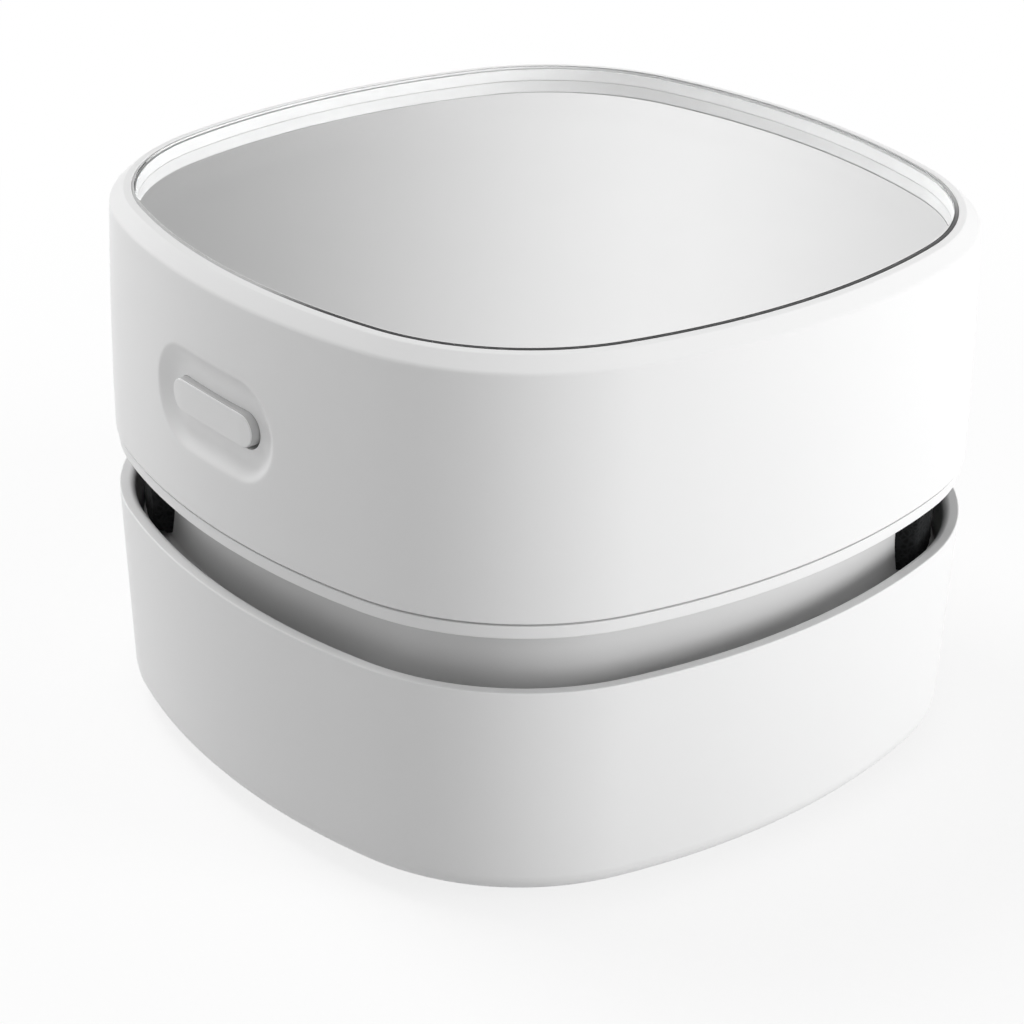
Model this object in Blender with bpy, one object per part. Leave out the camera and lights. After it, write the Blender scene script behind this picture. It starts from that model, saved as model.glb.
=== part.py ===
"""A desktop mini vacuum cleaner: a soft square head that lifts off its dust bin.

Metres, +Z up. The origin is on the desk, under the middle. The button faces -Y and the charging
socket +Y. Heights are stacked upwards from the desk, and each piece takes its size from the piece
that it sits in, less a named gap.
"""

import math

import bmesh
import bpy
from mathutils import Color, Vector

# Outline: a square with long arcs for its sides and tighter arcs for its corners
BODY_WIDTH = 0.0870
SIDE_RADIUS = 0.0822
CORNER_RADIUS = 0.0270
# Heights, from the desk up
FOOT_HEIGHT = 0.0020
BIN_HEIGHT = 0.0244
VENT_GAP = 0.0060
RING_HEIGHT = 0.0015
SHELL_HEIGHT = 0.02745
# Shared by all pieces: gaps, the overrun of a cut, and how a joined shape sinks into its neighbour
SEAT_GAP = 0.0003
RUN_GAP = 0.0007
OVERRUN = 0.0010
SINK = 0.0004
SKIM = 0.0001

BODY_HALF = BODY_WIDTH / 2
CORNER_SPREAD = SIDE_RADIUS - CORNER_RADIUS
SIDE_TURN = math.pi / 4 + math.asin((BODY_HALF - SIDE_RADIUS) / CORNER_SPREAD / math.sqrt(2))
CORNER_CENTRE = CORNER_SPREAD * math.sin(SIDE_TURN) * math.sqrt(2)
CORNER_REACH = CORNER_CENTRE + CORNER_RADIUS
BIN_BASE_Z = FOOT_HEIGHT
RIM_Z = BIN_BASE_Z + BIN_HEIGHT
RING_BASE_Z = RIM_Z + VENT_GAP
RING_TOP_Z = RING_BASE_Z + RING_HEIGHT
SHELL_BASE_Z = RING_TOP_Z + SEAT_GAP
LIP_Z = SHELL_BASE_Z + SHELL_HEIGHT

# Upper shell
SHELL_WALL = 0.0018
SHELL_DRAFT = 0.0002
SEAM_EDGE = 0.0002
RIM_WIDTH = 0.0029
RIM_DROP = 0.00145
CREST_ROUND = 0.0008
LIP_ROUND = 0.0003
LEDGE_WIDTH = 0.0022
LEDGE_THICKNESS = 0.0015
SHELL_INNER = BODY_HALF - SHELL_DRAFT - SHELL_WALL
LIP_HALF = BODY_HALF - SHELL_DRAFT - RIM_WIDTH

# Deck plate, and the clear window that stands over it on its own skirt
DECK_DEPTH = 0.0020
DECK_THICKNESS = 0.0012
WINDOW_DROP = 0.0001
WINDOW_THICKNESS = 0.0008
WINDOW_SKIRT = 0.0008
WINDOW_EDGE = 0.0001
DECK_Z = LIP_Z - DECK_DEPTH
DECK_BASE_Z = DECK_Z - DECK_THICKNESS
DECK_HALF = LIP_HALF - SEAT_GAP
LEDGE_Z = DECK_BASE_Z - SEAT_GAP

# Trim ring under the seam
RING_INSET = 0.00015
RING_TAPER = 0.0002
RING_ROUND = 0.0009

# Vent core: the grey wall inside the gap, on a flange that fits the bin
CORE_SETBACK = 0.0046
CORE_WALL = 0.0016
CORE_WAIST = 0.0005
CORE_WEB = 0.0015
FLANGE_DROP = 0.0040
FLANGE_HEIGHT = 0.0044
FLANGE_GAP = 0.0004
FLANGE_WALL = 0.0024
STEP_HEIGHT = 0.0032
VENT_HALF_WIDTH = 0.0116
VENT_SILL = 0.0006
VENT_HEAD = 0.0013
FOAM_THICKNESS = 0.0025
FOAM_LAP = 0.0012
CORE_HALF = BODY_HALF - CORE_SETBACK
CORE_INNER = CORE_HALF - CORE_WALL
CORE_TOP_Z = SHELL_BASE_Z
WEB_Z = CORE_TOP_Z - CORE_WEB
FLANGE_Z = RIM_Z - FLANGE_DROP
FLANGE_BASE_Z = FLANGE_Z - FLANGE_HEIGHT
STEP_Z = FLANGE_BASE_Z + STEP_HEIGHT

# Rubber seal in the flange's groove
SEAL_HEIGHT = 0.0012
SEAL_DEPTH = 0.0011
SEAL_DROP = 0.0013
SEAL_PROUD = 0.0001

# Dust bin
BIN_WALL = 0.00175
BIN_TAPER = 0.00075
BIN_EDGE = 0.0025
BIN_FLOOR = 0.0018
BIN_RIM_FALL = 0.0003
BIN_RIM_ROUND = 0.0003
RIB_THICKNESS = 0.0014
RIB_DEPTH = 0.0018
RIB_SPREAD_SHARE = 0.414
INLET_RADIUS = 0.0110
CHIMNEY_WALL = 0.0014
CHIMNEY_HEIGHT_SHARE = 0.48
RIB_SPREAD = BODY_HALF * RIB_SPREAD_SHARE
BIN_RIM_INNER = BODY_HALF - BIN_WALL
BIN_BASE_HALF = BODY_HALF - BIN_TAPER
BIN_BASE_INNER = BIN_BASE_HALF - BIN_WALL
BIN_FLOOR_Z = BIN_BASE_Z + BIN_FLOOR
FLANGE_HALF = BIN_RIM_INNER - BIN_TAPER * (RIM_Z - FLANGE_BASE_Z) / BIN_HEIGHT - FLANGE_GAP
FLANGE_INNER = FLANGE_HALF - FLANGE_WALL

# Screws: each head's radius and height, and its shank's radius and length
BOLT_HEAD = (0.0023, 0.0014)
BOLT_SHANK = (0.0011, 0.0115)
SMALL_HEAD = (0.0018, 0.0009)
SMALL_SHANK = (0.0008, 0.0024)
SCREW_TOP_SHARE = 0.7

# Brush holder under the bin, with its bristles
HOLDER_THICKNESS = 0.0019
HOLDER_INSET = 0.0002
HOLDER_LIP = 0.0004
HOLDER_WALL = 0.00075
GROOVE_WALL = 0.0019
GROOVE_WIDTH = 0.0036
GROOVE_DEPTH = 0.0012
BACKING_HEIGHT = 0.0008
STRIP_GAP = 0.0016
BRISTLE_RADIUS = 0.00015
BRISTLE_TIP_SHARE = 0.5
BRISTLE_CLEARANCE = 0.0003
ROW_STEP = 0.0010
ROW_COUNT = 3
ROW_BRISTLES = 25
ROW_STAGGER_SHARE = 0.25
BOSS_WALL = 0.0016
HOLDER_BORE = INLET_RADIUS + HOLDER_LIP
GROOVE_INNER = HOLDER_BORE + GROOVE_WALL
GROOVE_OUTER = GROOVE_INNER + GROOVE_WIDTH
HEAD_POCKET = SMALL_HEAD[0] + SEAT_GAP
HOLDER_RADIUS = GROOVE_OUTER + 2 * (HEAD_POCKET + HOLDER_WALL)
HOLDER_BASE_Z = BIN_BASE_Z + HOLDER_INSET
HOLDER_TOP_Z = HOLDER_BASE_Z + HOLDER_THICKNESS
POCKET_RADIUS = HOLDER_RADIUS + SEAT_GAP
POCKET_Z = HOLDER_TOP_Z + SEAT_GAP
BOSS_Z = POCKET_Z + BOSS_WALL

# Glide feet
FOOT_RADIUS = 0.0032
FOOT_ROUND = 0.0006
FOOT_SINK = 0.0005
FOOT_INSET = 0.0115
FOOT_PLACE = (CORNER_REACH - FOOT_INSET) / math.sqrt(2)

# Chassis plate, with the motor's cup and the bolts that clamp head, plate and core together
CHASSIS_THICKNESS = 0.0018
CUP_WALL = 0.0015
CUP_HEIGHT = 0.0050
CUP_LIP = 0.0010
POST_RADIUS = 0.0028
BOLT_INSET = 0.0121
BOLT_BOSS_RADIUS = 0.0030
BOLT_BOSS_HEIGHT = 0.0120
CHASSIS_BASE_Z = CORE_TOP_Z + SEAT_GAP
CHASSIS_Z = CHASSIS_BASE_Z + CHASSIS_THICKNESS
CHASSIS_HALF = SHELL_INNER - SEAT_GAP
CUP_TOP_Z = CHASSIS_Z + CUP_HEIGHT
BOLT_CIRCLE = CORNER_REACH - BOLT_INSET
BOLT_PLACE = BOLT_CIRCLE / math.sqrt(2)
BOLT_SEAT_Z = WEB_Z - SEAT_GAP
BOLT_TIP_Z = BOLT_SEAT_Z + BOLT_SHANK[1]
BOLT_BOSS_Z = CHASSIS_Z + SEAT_GAP

# Motor, which fills the height between its cup and the deck
MOTOR_RADIUS = 0.0101
MOTOR_FLAT = 0.0077
MOTOR_DROP = 0.0039
MOTOR_HEADROOM = 0.00115
CAP_INSET = 0.0001
CAP_LENGTH = 0.0026
CAP_BOSS_RADIUS = 0.0025
CAP_BOSS_HEIGHT = 0.0006
NOSE_RADIUS = 0.0030
NOSE_LENGTH = 0.0015
SHAFT_RADIUS = 0.0010
SHAFT_GAP = 0.0002
SHAFT_DEPTH = 0.0034
TERMINAL_SIZE = (0.0005, 0.0022, 0.0025)
TERMINAL_SPREAD = 0.0060
MOTOR_BASE_Z = CHASSIS_BASE_Z - MOTOR_DROP
NOSE_Z = MOTOR_BASE_Z - NOSE_LENGTH
CUP_LIP_Z = MOTOR_BASE_Z - SEAT_GAP
CUP_BASE_Z = CUP_LIP_Z - CUP_LIP
CUP_RADIUS = MOTOR_RADIUS + SEAT_GAP + CUP_WALL
TERMINAL_Z = DECK_BASE_Z - MOTOR_HEADROOM - TERMINAL_SIZE[2]
CAP_TOP_Z = TERMINAL_Z - SEAT_GAP
CAP_BASE_Z = CAP_TOP_Z - CAP_LENGTH
MOTOR_TOP_Z = CAP_BASE_Z - SEAT_GAP

# Motor clamp
CLAMP_THICKNESS = 0.0018
CLAMP_RIM = 0.0020
CLAMP_REACH = 0.0155
CLAMP_EAR = 0.0032
CLAMP_Z = CUP_TOP_Z + SEAT_GAP

# Fan, and its housing, which clear the bolts
FAN_SHARE = 0.6625
FAN_PLATE = 0.0009
FAN_HUB_RADIUS = 0.0034
FAN_EYE_SHARE = 0.32
BLADE_COUNT = 9
BLADE_THICKNESS = 0.0009
BLADE_SWEEP = math.radians(48)
BLADE_CURVE_SHARE = 0.8
BLADE_STEPS = 4
FAN_WALL = 0.0016
FAN_WALL_GAP = 0.0017
FAN_INLET_SHARE = 0.51
GUARD_BAR = 0.0012
OUTLET_SHARE = 0.575
SEPARATOR = 0.0012
FAN_RADIUS = BOLT_CIRCLE * FAN_SHARE
FAN_EYE = FAN_RADIUS * FAN_EYE_SHARE
FAN_INLET = FAN_RADIUS * FAN_INLET_SHARE
OUTLET_HALF_WIDTH = FAN_RADIUS * OUTLET_SHARE
SEPARATOR_Z = STEP_Z - SEAT_GAP
SEPARATOR_BASE_Z = SEPARATOR_Z - SEPARATOR
BLADE_BASE_Z = SEPARATOR_Z + RUN_GAP
FAN_TOP_Z = CUP_BASE_Z - RUN_GAP

# Filter
FRAME_HEIGHT = 0.0060
FRAME_WALL = 0.0014
FRAME_FLOOR = 0.0012
FRAME_BAR = 0.0014
FRAME_CELLS = 5
PAD_THICKNESS = 0.0030
FRAME_HALF = FLANGE_INNER - SEAT_GAP
FRAME_INNER = FRAME_HALF - FRAME_WALL
FRAME_TOP_Z = SEPARATOR_BASE_Z - SEAT_GAP
FRAME_BASE_Z = FRAME_TOP_Z - FRAME_HEIGHT
FRAME_FLOOR_Z = FRAME_BASE_Z + FRAME_FLOOR
CHIMNEY_Z = BOSS_Z + (FRAME_BASE_Z - BOSS_Z) * CHIMNEY_HEIGHT_SHARE

# Button, in a dish of the -Y face, and the switch behind it
BUTTON_HEIGHT_SHARE = 0.49
BUTTON_HALF = (0.0073, 0.0020)
BUTTON_TRAVEL = 0.0006
BUTTON_RECESS = 0.00025
BUTTON_EDGE = 0.0004
BUTTON_FLANGE = 0.0015
BUTTON_FLANGE_THICKNESS = 0.0012
STEM_HALF = (0.0021, 0.0016)
STEM_LENGTH = 0.0028
DISH_HALF = (0.01045, 0.00565)
DISH_DEPTH = 0.0013
DISH_SLOPE = 0.0026
DISH_COVE_SHARES = ((0, 0), (0.22, 0.28), (0.48, 0.62), (0.76, 0.88), (1, 1))
DISH_PAD_MARGIN = 0.0011
DISH_PAD_DEPTH = 0.0016
PLUNGER_RADIUS = 0.00175
PLUNGER_PROUD = 0.0006
PLUNGER_SINK = 0.0008
PRESS_GAP = 0.00005
SWITCH_SIZE = (0.0060, 0.0035, 0.0060)
CREST_Z = LIP_Z - RIM_DROP
BUTTON_Z = SHELL_BASE_Z + (CREST_Z - SHELL_BASE_Z) * BUTTON_HEIGHT_SHARE
BUTTON_WALL_HALF = BODY_HALF - SHELL_DRAFT * BUTTON_HEIGHT_SHARE
DISH_PAD_Y = SHELL_INNER - DISH_PAD_DEPTH
FLANGE_FRONT_Y = DISH_PAD_Y - SEAT_GAP
FLANGE_BACK_Y = FLANGE_FRONT_Y - BUTTON_FLANGE_THICKNESS
STEM_Y = FLANGE_BACK_Y - STEM_LENGTH
PLUNGER_Y = STEM_Y - SEAT_GAP
PLUNGER_TRAVEL = BUTTON_TRAVEL - SEAT_GAP + PRESS_GAP
SWITCH_Y = PLUNGER_Y - PLUNGER_PROUD
SWITCH_BACK_Y = SWITCH_Y - SWITCH_SIZE[1]

# Control board, upright in two slotted guides behind the switch
BOARD_THICKNESS = 0.0012
CONTROL_HEADROOM = 0.0038
GUIDE_SIZE = (0.0030, 0.0038, 0.0078)
GUIDE_SIDE_GAP = 0.0046
CONTROL_HALF_WIDTH = BOLT_PLACE - BOLT_BOSS_RADIUS - GUIDE_SIDE_GAP - GUIDE_SIZE[0] / 2
CONTROL_FRONT_Y = SWITCH_BACK_Y - SEAT_GAP
CONTROL_BACK_Y = CONTROL_FRONT_Y - BOARD_THICKNESS
CONTROL_BASE_Z = CHASSIS_Z + SEAT_GAP
CONTROL_TOP_Z = DECK_BASE_Z - CONTROL_HEADROOM

# Charging socket, in a slot of the +Y face
SOCKET_HALF = (0.00445, 0.0016)
SOCKET_WALL = 0.00035
SOCKET_LENGTH = 0.0082
SOCKET_INSET = 0.0010
SOCKET_SLOT_GAP = 0.0005
TONGUE_HALF = (0.0033, 0.0004)
TONGUE_SETBACK = 0.0008
TONGUE_ROOT = 0.0016
SOCKET_MOUTH_Y = BODY_HALF - SOCKET_INSET
SOCKET_BACK_Y = SOCKET_MOUTH_Y - SOCKET_LENGTH

# Battery, lying along X between the bosses, in the room from the motor's clamp to the socket
CELL_HEADROOM = 0.0040
CELL_SETBACK_SHARE = 0.383
CELL_NUB = (0.0024, 0.0008)
CELL_GROOVE = (0.0005, 0.0012)
CELL_STEPS = 20
CRADLE_FLOOR = 0.0016
CRADLE_SIDE_GAP = 0.0026
CRADLE_INSET = 0.0018
CRADLE_OPENING = 0.0100
CRADLE_END_WALL = 0.0015
CRADLE_RISE = 0.0029
CONTACT_THICKNESS = 0.0004
CONTACT_HALF_WIDTH = 0.0035
CONTACT_RISE = 0.0030
CRADLE_BASE_Z = CHASSIS_Z + SEAT_GAP
CRADLE_FLOOR_Z = CRADLE_BASE_Z + CRADLE_FLOOR
CELL_BASE_Z = CRADLE_FLOOR_Z + SEAT_GAP
CELL_RADIUS = (DECK_BASE_Z - CELL_HEADROOM - CELL_BASE_Z) / 2
CELL_Z = CELL_BASE_Z + CELL_RADIUS
CLAMP_BACK_Y = MOTOR_FLAT + SEAT_GAP + CLAMP_RIM
CELL_SPARE_DEPTH = SOCKET_BACK_Y - CLAMP_BACK_Y - 2 * CELL_RADIUS
CELL_Y = CLAMP_BACK_Y + CELL_SPARE_DEPTH * CELL_SETBACK_SHARE + CELL_RADIUS
CRADLE_TOP_Z = CELL_Z + CRADLE_RISE
CRADLE_END_X = BOLT_PLACE - BOLT_BOSS_RADIUS - CRADLE_SIDE_GAP
CRADLE_INNER_X = CRADLE_END_X - CRADLE_END_WALL
CRADLE_HALF_DEPTH = CELL_RADIUS - CRADLE_INSET
CONTACT_X = CRADLE_INNER_X - SEAT_GAP - CONTACT_THICKNESS
CELL_END_X = CONTACT_X - SEAT_GAP

# Charging board, under the socket
CHARGE_HALF_WIDTH = 0.0090
CHARGE_EDGE_GAP = 0.0010
CHARGE_BACK_GAP = 0.0027
CHARGE_POST_HEIGHT = 0.0008
CHARGE_POST_RADIUS = 0.0019
CHARGE_BASE_Z = CHASSIS_Z + CHARGE_POST_HEIGHT + SEAT_GAP
CHARGE_Z = CHARGE_BASE_Z + BOARD_THICKNESS
CHARGE_FRONT_Y = CELL_Y + CRADLE_HALF_DEPTH + CHARGE_BACK_GAP
CHARGE_BACK_Y = SHELL_INNER - CHARGE_EDGE_GAP
SOCKET_Z = CHARGE_Z + SEAT_GAP + SOCKET_HALF[1]

# Leads
LEAD_RADIUS = 0.00055
LEAD_RISE = 0.0016
LEAD_LANDING = 0.0030
LEAD_TAP_SHARE = 0.6
LEAD_POINTS = 11

# Facets: steps in each side arc and corner arc of a seen and a hidden outline, and round circles
FINE = (6, 6)
PLAIN = (4, 6)
ROUND_STEPS = 28
SMALL_STEPS = 12
END_STEPS = 8
SOCKET_STEPS = 4
WAIST_STEPS = 4
FILLET_STEP = 0.0005
SHARP_ANGLE = math.radians(35)

CORNERS = ((1, 1), (-1, 1), (-1, -1), (1, -1))
SIDES = (("left", -1), ("right", 1))


def remove_start_objects():
    for obj in list(bpy.data.objects):
        bpy.data.objects.remove(obj, do_unlink=True)


def linear(hex_colour):
    """The linear RGBA of an sRGB hex colour such as 'f2f2f0'."""
    colour = Color([int(hex_colour[i:i + 2], 16) / 255 for i in (0, 2, 4)])
    return (*colour.from_srgb_to_scene_linear(), 1.0)


def material(name, hex_colour, roughness, metallic=0.0, alpha=1.0):
    made = bpy.data.materials.new(name)
    made.use_nodes = True
    shader = made.node_tree.nodes["Principled BSDF"]
    shader.inputs["Base Color"].default_value = linear(hex_colour)
    shader.inputs["Roughness"].default_value = roughness
    shader.inputs["Metallic"].default_value = metallic
    shader.inputs["Alpha"].default_value = alpha
    made.diffuse_color = linear(hex_colour)
    return made


def make_looks():
    return {
        "shell": material("white_plastic", "f1f1f0", 0.38),
        "bin": material("bin_plastic", "efefee", 0.40),
        "grey": material("grey_plastic", "b9babb", 0.45),
        "deck": material("silver_deck", "c9cacb", 0.18, metallic=0.75),
        "clear": material("clear_acrylic", "ffffff", 0.05, alpha=0.25),
        "black": material("black_plastic", "222324", 0.50),
        "foam": material("black_foam", "18191a", 0.95),
        "rubber": material("seal_rubber", "2b2c2d", 0.80),
        "felt": material("filter_felt", "e6e4de", 0.95),
        "steel": material("plated_steel", "c2c4c6", 0.30, metallic=1.0),
        "nylon": material("motor_nylon", "e8e6e0", 0.50),
        "brass": material("plated_brass", "d0b878", 0.35, metallic=1.0),
        "board": material("board_green", "1f5a3a", 0.50),
        "cell": material("cell_wrap", "3a6ea5", 0.40),
        "red": material("red_wire", "b3261e", 0.45),
        "bristle": material("nylon_bristle", "f4f4f4", 0.55),
        "glide": material("glide_plastic", "d8d8d8", 0.35),
    }


def pivot(name, place, parent=None):
    """An empty on a joint's axis, which carries the pieces that move there."""
    made = bpy.data.objects.new(name, None)
    bpy.context.scene.collection.objects.link(made)
    made.empty_display_size = FOOT_RADIUS
    made.parent = parent
    made.location = Vector(place) - (parent.matrix_world.translation if parent else Vector())
    bpy.context.view_layer.update()
    return made


def add_object(name, bm, look, parent):
    """A mesh object from bm, which is drawn in world coordinates, with its origin at its parent's."""
    bmesh.ops.recalc_face_normals(bm, faces=bm.faces)
    bmesh.ops.translate(bm, verts=bm.verts, vec=-parent.matrix_world.translation)
    mesh = bpy.data.meshes.new(name)
    bm.to_mesh(mesh)
    bm.free()
    mesh.shade_smooth()
    mesh.set_sharp_from_angle(angle=SHARP_ANGLE)
    if look:
        mesh.materials.append(look)
    made = bpy.data.objects.new(name, mesh)
    bpy.context.scene.collection.objects.link(made)
    made.parent = parent
    return made


def combine(target, operation, name, bm):
    """Joins a drawn shape to the target or cuts it out, with a Boolean that stays live."""
    tool = add_object(f"{target.name}_{name}", bm, None, target.parent)
    tool.hide_render = True
    tool.display_type = "WIRE"
    modifier = target.modifiers.new(name, "BOOLEAN")
    modifier.operation = operation
    modifier.solver = "EXACT"
    modifier.object = tool


def cut(target, name, bm):
    combine(target, "DIFFERENCE", name, bm)


def join(target, name, bm):
    combine(target, "UNION", name, bm)


def weight_normals():
    """Keeps flat faces looking flat beside each cut."""
    for obj in bpy.data.objects:
        if obj.modifiers:
            obj.modifiers.new("normals", "WEIGHTED_NORMAL").keep_sharp = True


def arc(centre, radius, start, end, steps, with_end=True):
    """Points along an arc, without the last where the next arc starts there."""
    return [
        (
            centre[0] + radius * math.cos(start + (end - start) * k / steps),
            centre[1] + radius * math.sin(start + (end - start) * k / steps),
        )
        for k in range(steps + with_end)
    ]


def circle(radius, steps=ROUND_STEPS, centre=(0, 0)):
    return arc(centre, radius, 0, 2 * math.pi, steps, with_end=False)


def obround(half_long, half_wide, steps=END_STEPS):
    """A slot's outline: the round right end from below, then the left end from above."""
    run = half_long - half_wide
    right = arc((run, 0), half_wide, -math.pi / 2, math.pi / 2, steps)
    left = arc((-run, 0), half_wide, math.pi / 2, 3 * math.pi / 2, steps)
    return right + left


def flat_sided(radius, flat, steps=END_STEPS):
    """A circle with flats that face -Y and +Y."""
    lean = math.asin(flat / radius)
    right = arc((0, 0), radius, -lean, lean, steps)
    left = arc((0, 0), radius, math.pi - lean, math.pi + lean, steps)
    return right + left


def soft_square(half, facets=FINE):
    """The body's outline, anticlockwise, moved inwards until its half width is half."""
    inset = BODY_HALF - half
    side = BODY_HALF - SIDE_RADIUS
    points = []
    for quarter in range(4):
        face = quarter * math.pi / 2
        crown = face + math.pi / 4
        next_face = face + math.pi / 2
        side_centre = (side * math.cos(face), side * math.sin(face))
        corner_centre = (CORNER_CENTRE * math.cos(crown), CORNER_CENTRE * math.sin(crown))
        start, end, corner_end = face - SIDE_TURN, face + SIDE_TURN, next_face - SIDE_TURN
        points += arc(side_centre, SIDE_RADIUS - inset, start, end, facets[0], with_end=False)
        points += arc(corner_centre, CORNER_RADIUS - inset, end, corner_end, facets[1], with_end=False)
    return points


def side_wall_y(x, half):
    """How far the outline of this half width stands out, at x along one side."""
    radius = SIDE_RADIUS - (BODY_HALF - half)
    return math.sqrt(radius ** 2 - x ** 2) + half - radius


def rounded(corners):
    """A section's points from (u, v, radius) corners, each fillet limited by its two edges."""
    points = []
    for k, (u, v, radius) in enumerate(corners):
        here = Vector((u, v))
        if not radius or k in (0, len(corners) - 1):
            points.append((u, v))
            continue
        before = Vector(corners[k - 1][:2]) - here
        after = Vector(corners[k + 1][:2]) - here
        half_angle = before.angle(after) / 2
        reach = min(radius / math.tan(half_angle), before.length / 2, after.length / 2)
        start = here + before.normalized() * reach
        end = here + after.normalized() * reach
        middle = (before.normalized() + after.normalized()).normalized()
        centre = here + middle * reach / math.cos(half_angle)
        steps = max(1, round(radius / FILLET_STEP))
        first = math.atan2(*(start - centre).yx)
        turn = (end - centre).angle_signed(start - centre)
        points += arc(centre, (start - centre).length, first, first + turn, steps)
    return points


def add_loft(bm, rings, closed=False):
    """Faces between rings of equal counts, capped at both ends or joined from last to first."""
    rows = add_walls(bm, rings, closed)
    if not closed:
        bm.faces.new(rows[0])
        bm.faces.new(rows[-1])
    return bm


def add_walls(bm, rings, closed=False):
    rows = [[bm.verts.new(point) for point in ring] for ring in rings]
    pairs = list(zip(rows, rows[1:]))
    if closed:
        pairs.append((rows[-1], rows[0]))
    for low, high in pairs:
        for k in range(len(low)):
            after = (k + 1) % len(low)
            bm.faces.new((low[k], low[after], high[after], high[k]))
    return rows


def ladder_cap(bm, row):
    """Closes an obround ring with strips from its lower to its upper edge, so that it can be curved."""
    half = len(row) // 2
    middle = half // 2
    right, left = row[:half], row[half:]
    rungs = [(right[middle - k], right[middle + k]) for k in range(middle + 1)]
    rungs += [(left[half - 1 - k], left[k]) for k in range(middle + 1)]
    for (low, high), (next_low, next_high) in zip(rungs, rungs[1:]):
        corners = [low, next_low, next_high]
        if high is not low:
            corners.append(high)
        if next_high is next_low:
            corners.remove(next_high)
        bm.faces.new(corners)


def soft_loft(section, closed=False, facets=FINE):
    """A soft square piece from its (half width, z) section."""
    rings = [[(x, y, z) for x, y in soft_square(half, facets)] for half, z in section]
    return add_loft(bmesh.new(), rings, closed)


def lathe(section, closed=False, steps=ROUND_STEPS, centre=(0, 0)):
    """A turned piece from its (radius, z) section."""
    rings = [[(x, y, z) for x, y in circle(radius, steps, centre)] for radius, z in section]
    return add_loft(bmesh.new(), rings, closed)


def add_prism(bm, outline, low, high, place=None):
    """An extruded outline. place turns (u, v, w) into a point, with w along the extrusion."""
    place = place or (lambda u, v, w: (u, v, w))
    return add_loft(bm, [[place(u, v, w) for u, v in outline] for w in (low, high)])


def along_y(outline, low, high, centre_z):
    """Extrudes an (x, z) outline along Y, from -low to -high."""
    return add_prism(bmesh.new(), outline, low, high, lambda u, v, w: (u, -w, centre_z + v))


def add_box(bm, low, high, turn=0.0):
    """A box between two corners, turned about the vertical axis through the origin."""
    c, s = math.cos(turn), math.sin(turn)
    base = [(low[0], low[1]), (high[0], low[1]), (high[0], high[1]), (low[0], high[1])]
    return add_prism(bm, base, low[2], high[2], lambda u, v, w: (c * u - s * v, s * u + c * v, w))


def box(low, high, turn=0.0):
    return add_box(bmesh.new(), low, high, turn)


def posts(places, radius, low, high, steps=SMALL_STEPS):
    """Upright round posts, or the cutters of round holes, as one mesh."""
    bm = bmesh.new()
    for place in places:
        add_prism(bm, circle(radius, steps, place), low, high)
    return bm


def disc(radius, low, high):
    return posts([(0, 0)], radius, low, high, ROUND_STEPS)


def corner_boxes(half_width, start, low, high):
    """Boxes across the front left and back right corners, from start outwards along the diagonal."""
    bm = bmesh.new()
    for turn in (math.pi / 4, 5 * math.pi / 4):
        add_box(bm, (start, -half_width, low), (CORNER_REACH + OVERRUN, half_width, high), turn)
    return bm


def add_screw(name, place, seat_z, tip_z, look, parent, head=SMALL_HEAD, shank_radius=SMALL_SHANK[0]):
    """A pan head screw, its head on the side of seat_z that is away from its tip."""
    away = 1 if seat_z > tip_z else -1
    radius, height = head
    section = [
        (shank_radius, tip_z),
        (shank_radius, seat_z),
        (radius, seat_z),
        (radius, seat_z + away * height / 2),
        (radius * SCREW_TOP_SHARE, seat_z + away * height),
    ]
    add_object(name, lathe(section, steps=SMALL_STEPS, centre=place), look, parent)


def bolt_places():
    return [(x * BOLT_PLACE, y * BOLT_PLACE) for x, y in CORNERS]


def clamp_places():
    return [(sign * CLAMP_REACH, 0) for _, sign in SIDES]


def charge_places():
    return [(sign * (CHARGE_HALF_WIDTH - HEAD_POCKET), CHARGE_FRONT_Y + HEAD_POCKET) for _, sign in SIDES]


def holder_places():
    return [(sign * (GROOVE_OUTER + HOLDER_RADIUS) / 2, 0) for _, sign in SIDES]


def foot_places():
    return [(x * FOOT_PLACE, y * FOOT_PLACE) for x, y in CORNERS]


def build_upper_shell(look, parent):
    ledge_half = LIP_HALF - LEDGE_WIDTH
    ledge_base = LEDGE_Z - LEDGE_THICKNESS
    section = rounded([
        (SHELL_INNER, SHELL_BASE_Z, 0),
        (BODY_HALF, SHELL_BASE_Z, SEAM_EDGE),
        (BODY_HALF - SHELL_DRAFT, CREST_Z, CREST_ROUND),
        (LIP_HALF, LIP_Z, LIP_ROUND),
        (LIP_HALF, LEDGE_Z, 0),
        (ledge_half, LEDGE_Z, 0),
        (ledge_half, ledge_base, 0),
        (SHELL_INNER, ledge_base - (SHELL_INNER - ledge_half), 0),
    ])
    shell = add_object("upper_shell", soft_loft(section, closed=True), look, parent)
    boss_top = BOLT_BOSS_Z + BOLT_BOSS_HEIGHT
    join(shell, "bosses", posts(bolt_places(), BOLT_BOSS_RADIUS, BOLT_BOSS_Z, boss_top))
    join(shell, "boss_ribs", boss_ribs(boss_top))
    join(shell, "button_pad", button_pad())
    cut(shell, "dish", dish())
    cut(shell, "button_hole", button_hole())
    cut(shell, "socket_slot", socket_slot())
    bolt_bore = BOLT_SHANK[0] + SEAT_GAP
    cut(shell, "bolt_bores", posts(bolt_places(), bolt_bore, BOLT_BOSS_Z - OVERRUN, BOLT_TIP_Z + SEAT_GAP))


def boss_ribs(boss_top):
    """A web from each boss to the wall behind it, along the diagonal."""
    bm = bmesh.new()
    wall = CORNER_REACH - SHELL_DRAFT - SHELL_WALL / 2
    low = (BOLT_CIRCLE, -RIB_THICKNESS / 2, BOLT_BOSS_Z + SINK)
    high = (wall, RIB_THICKNESS / 2, boss_top - SINK)
    for quarter in range(4):
        add_box(bm, low, high, (quarter + 1 / 2) * math.pi / 2)
    return bm


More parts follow.
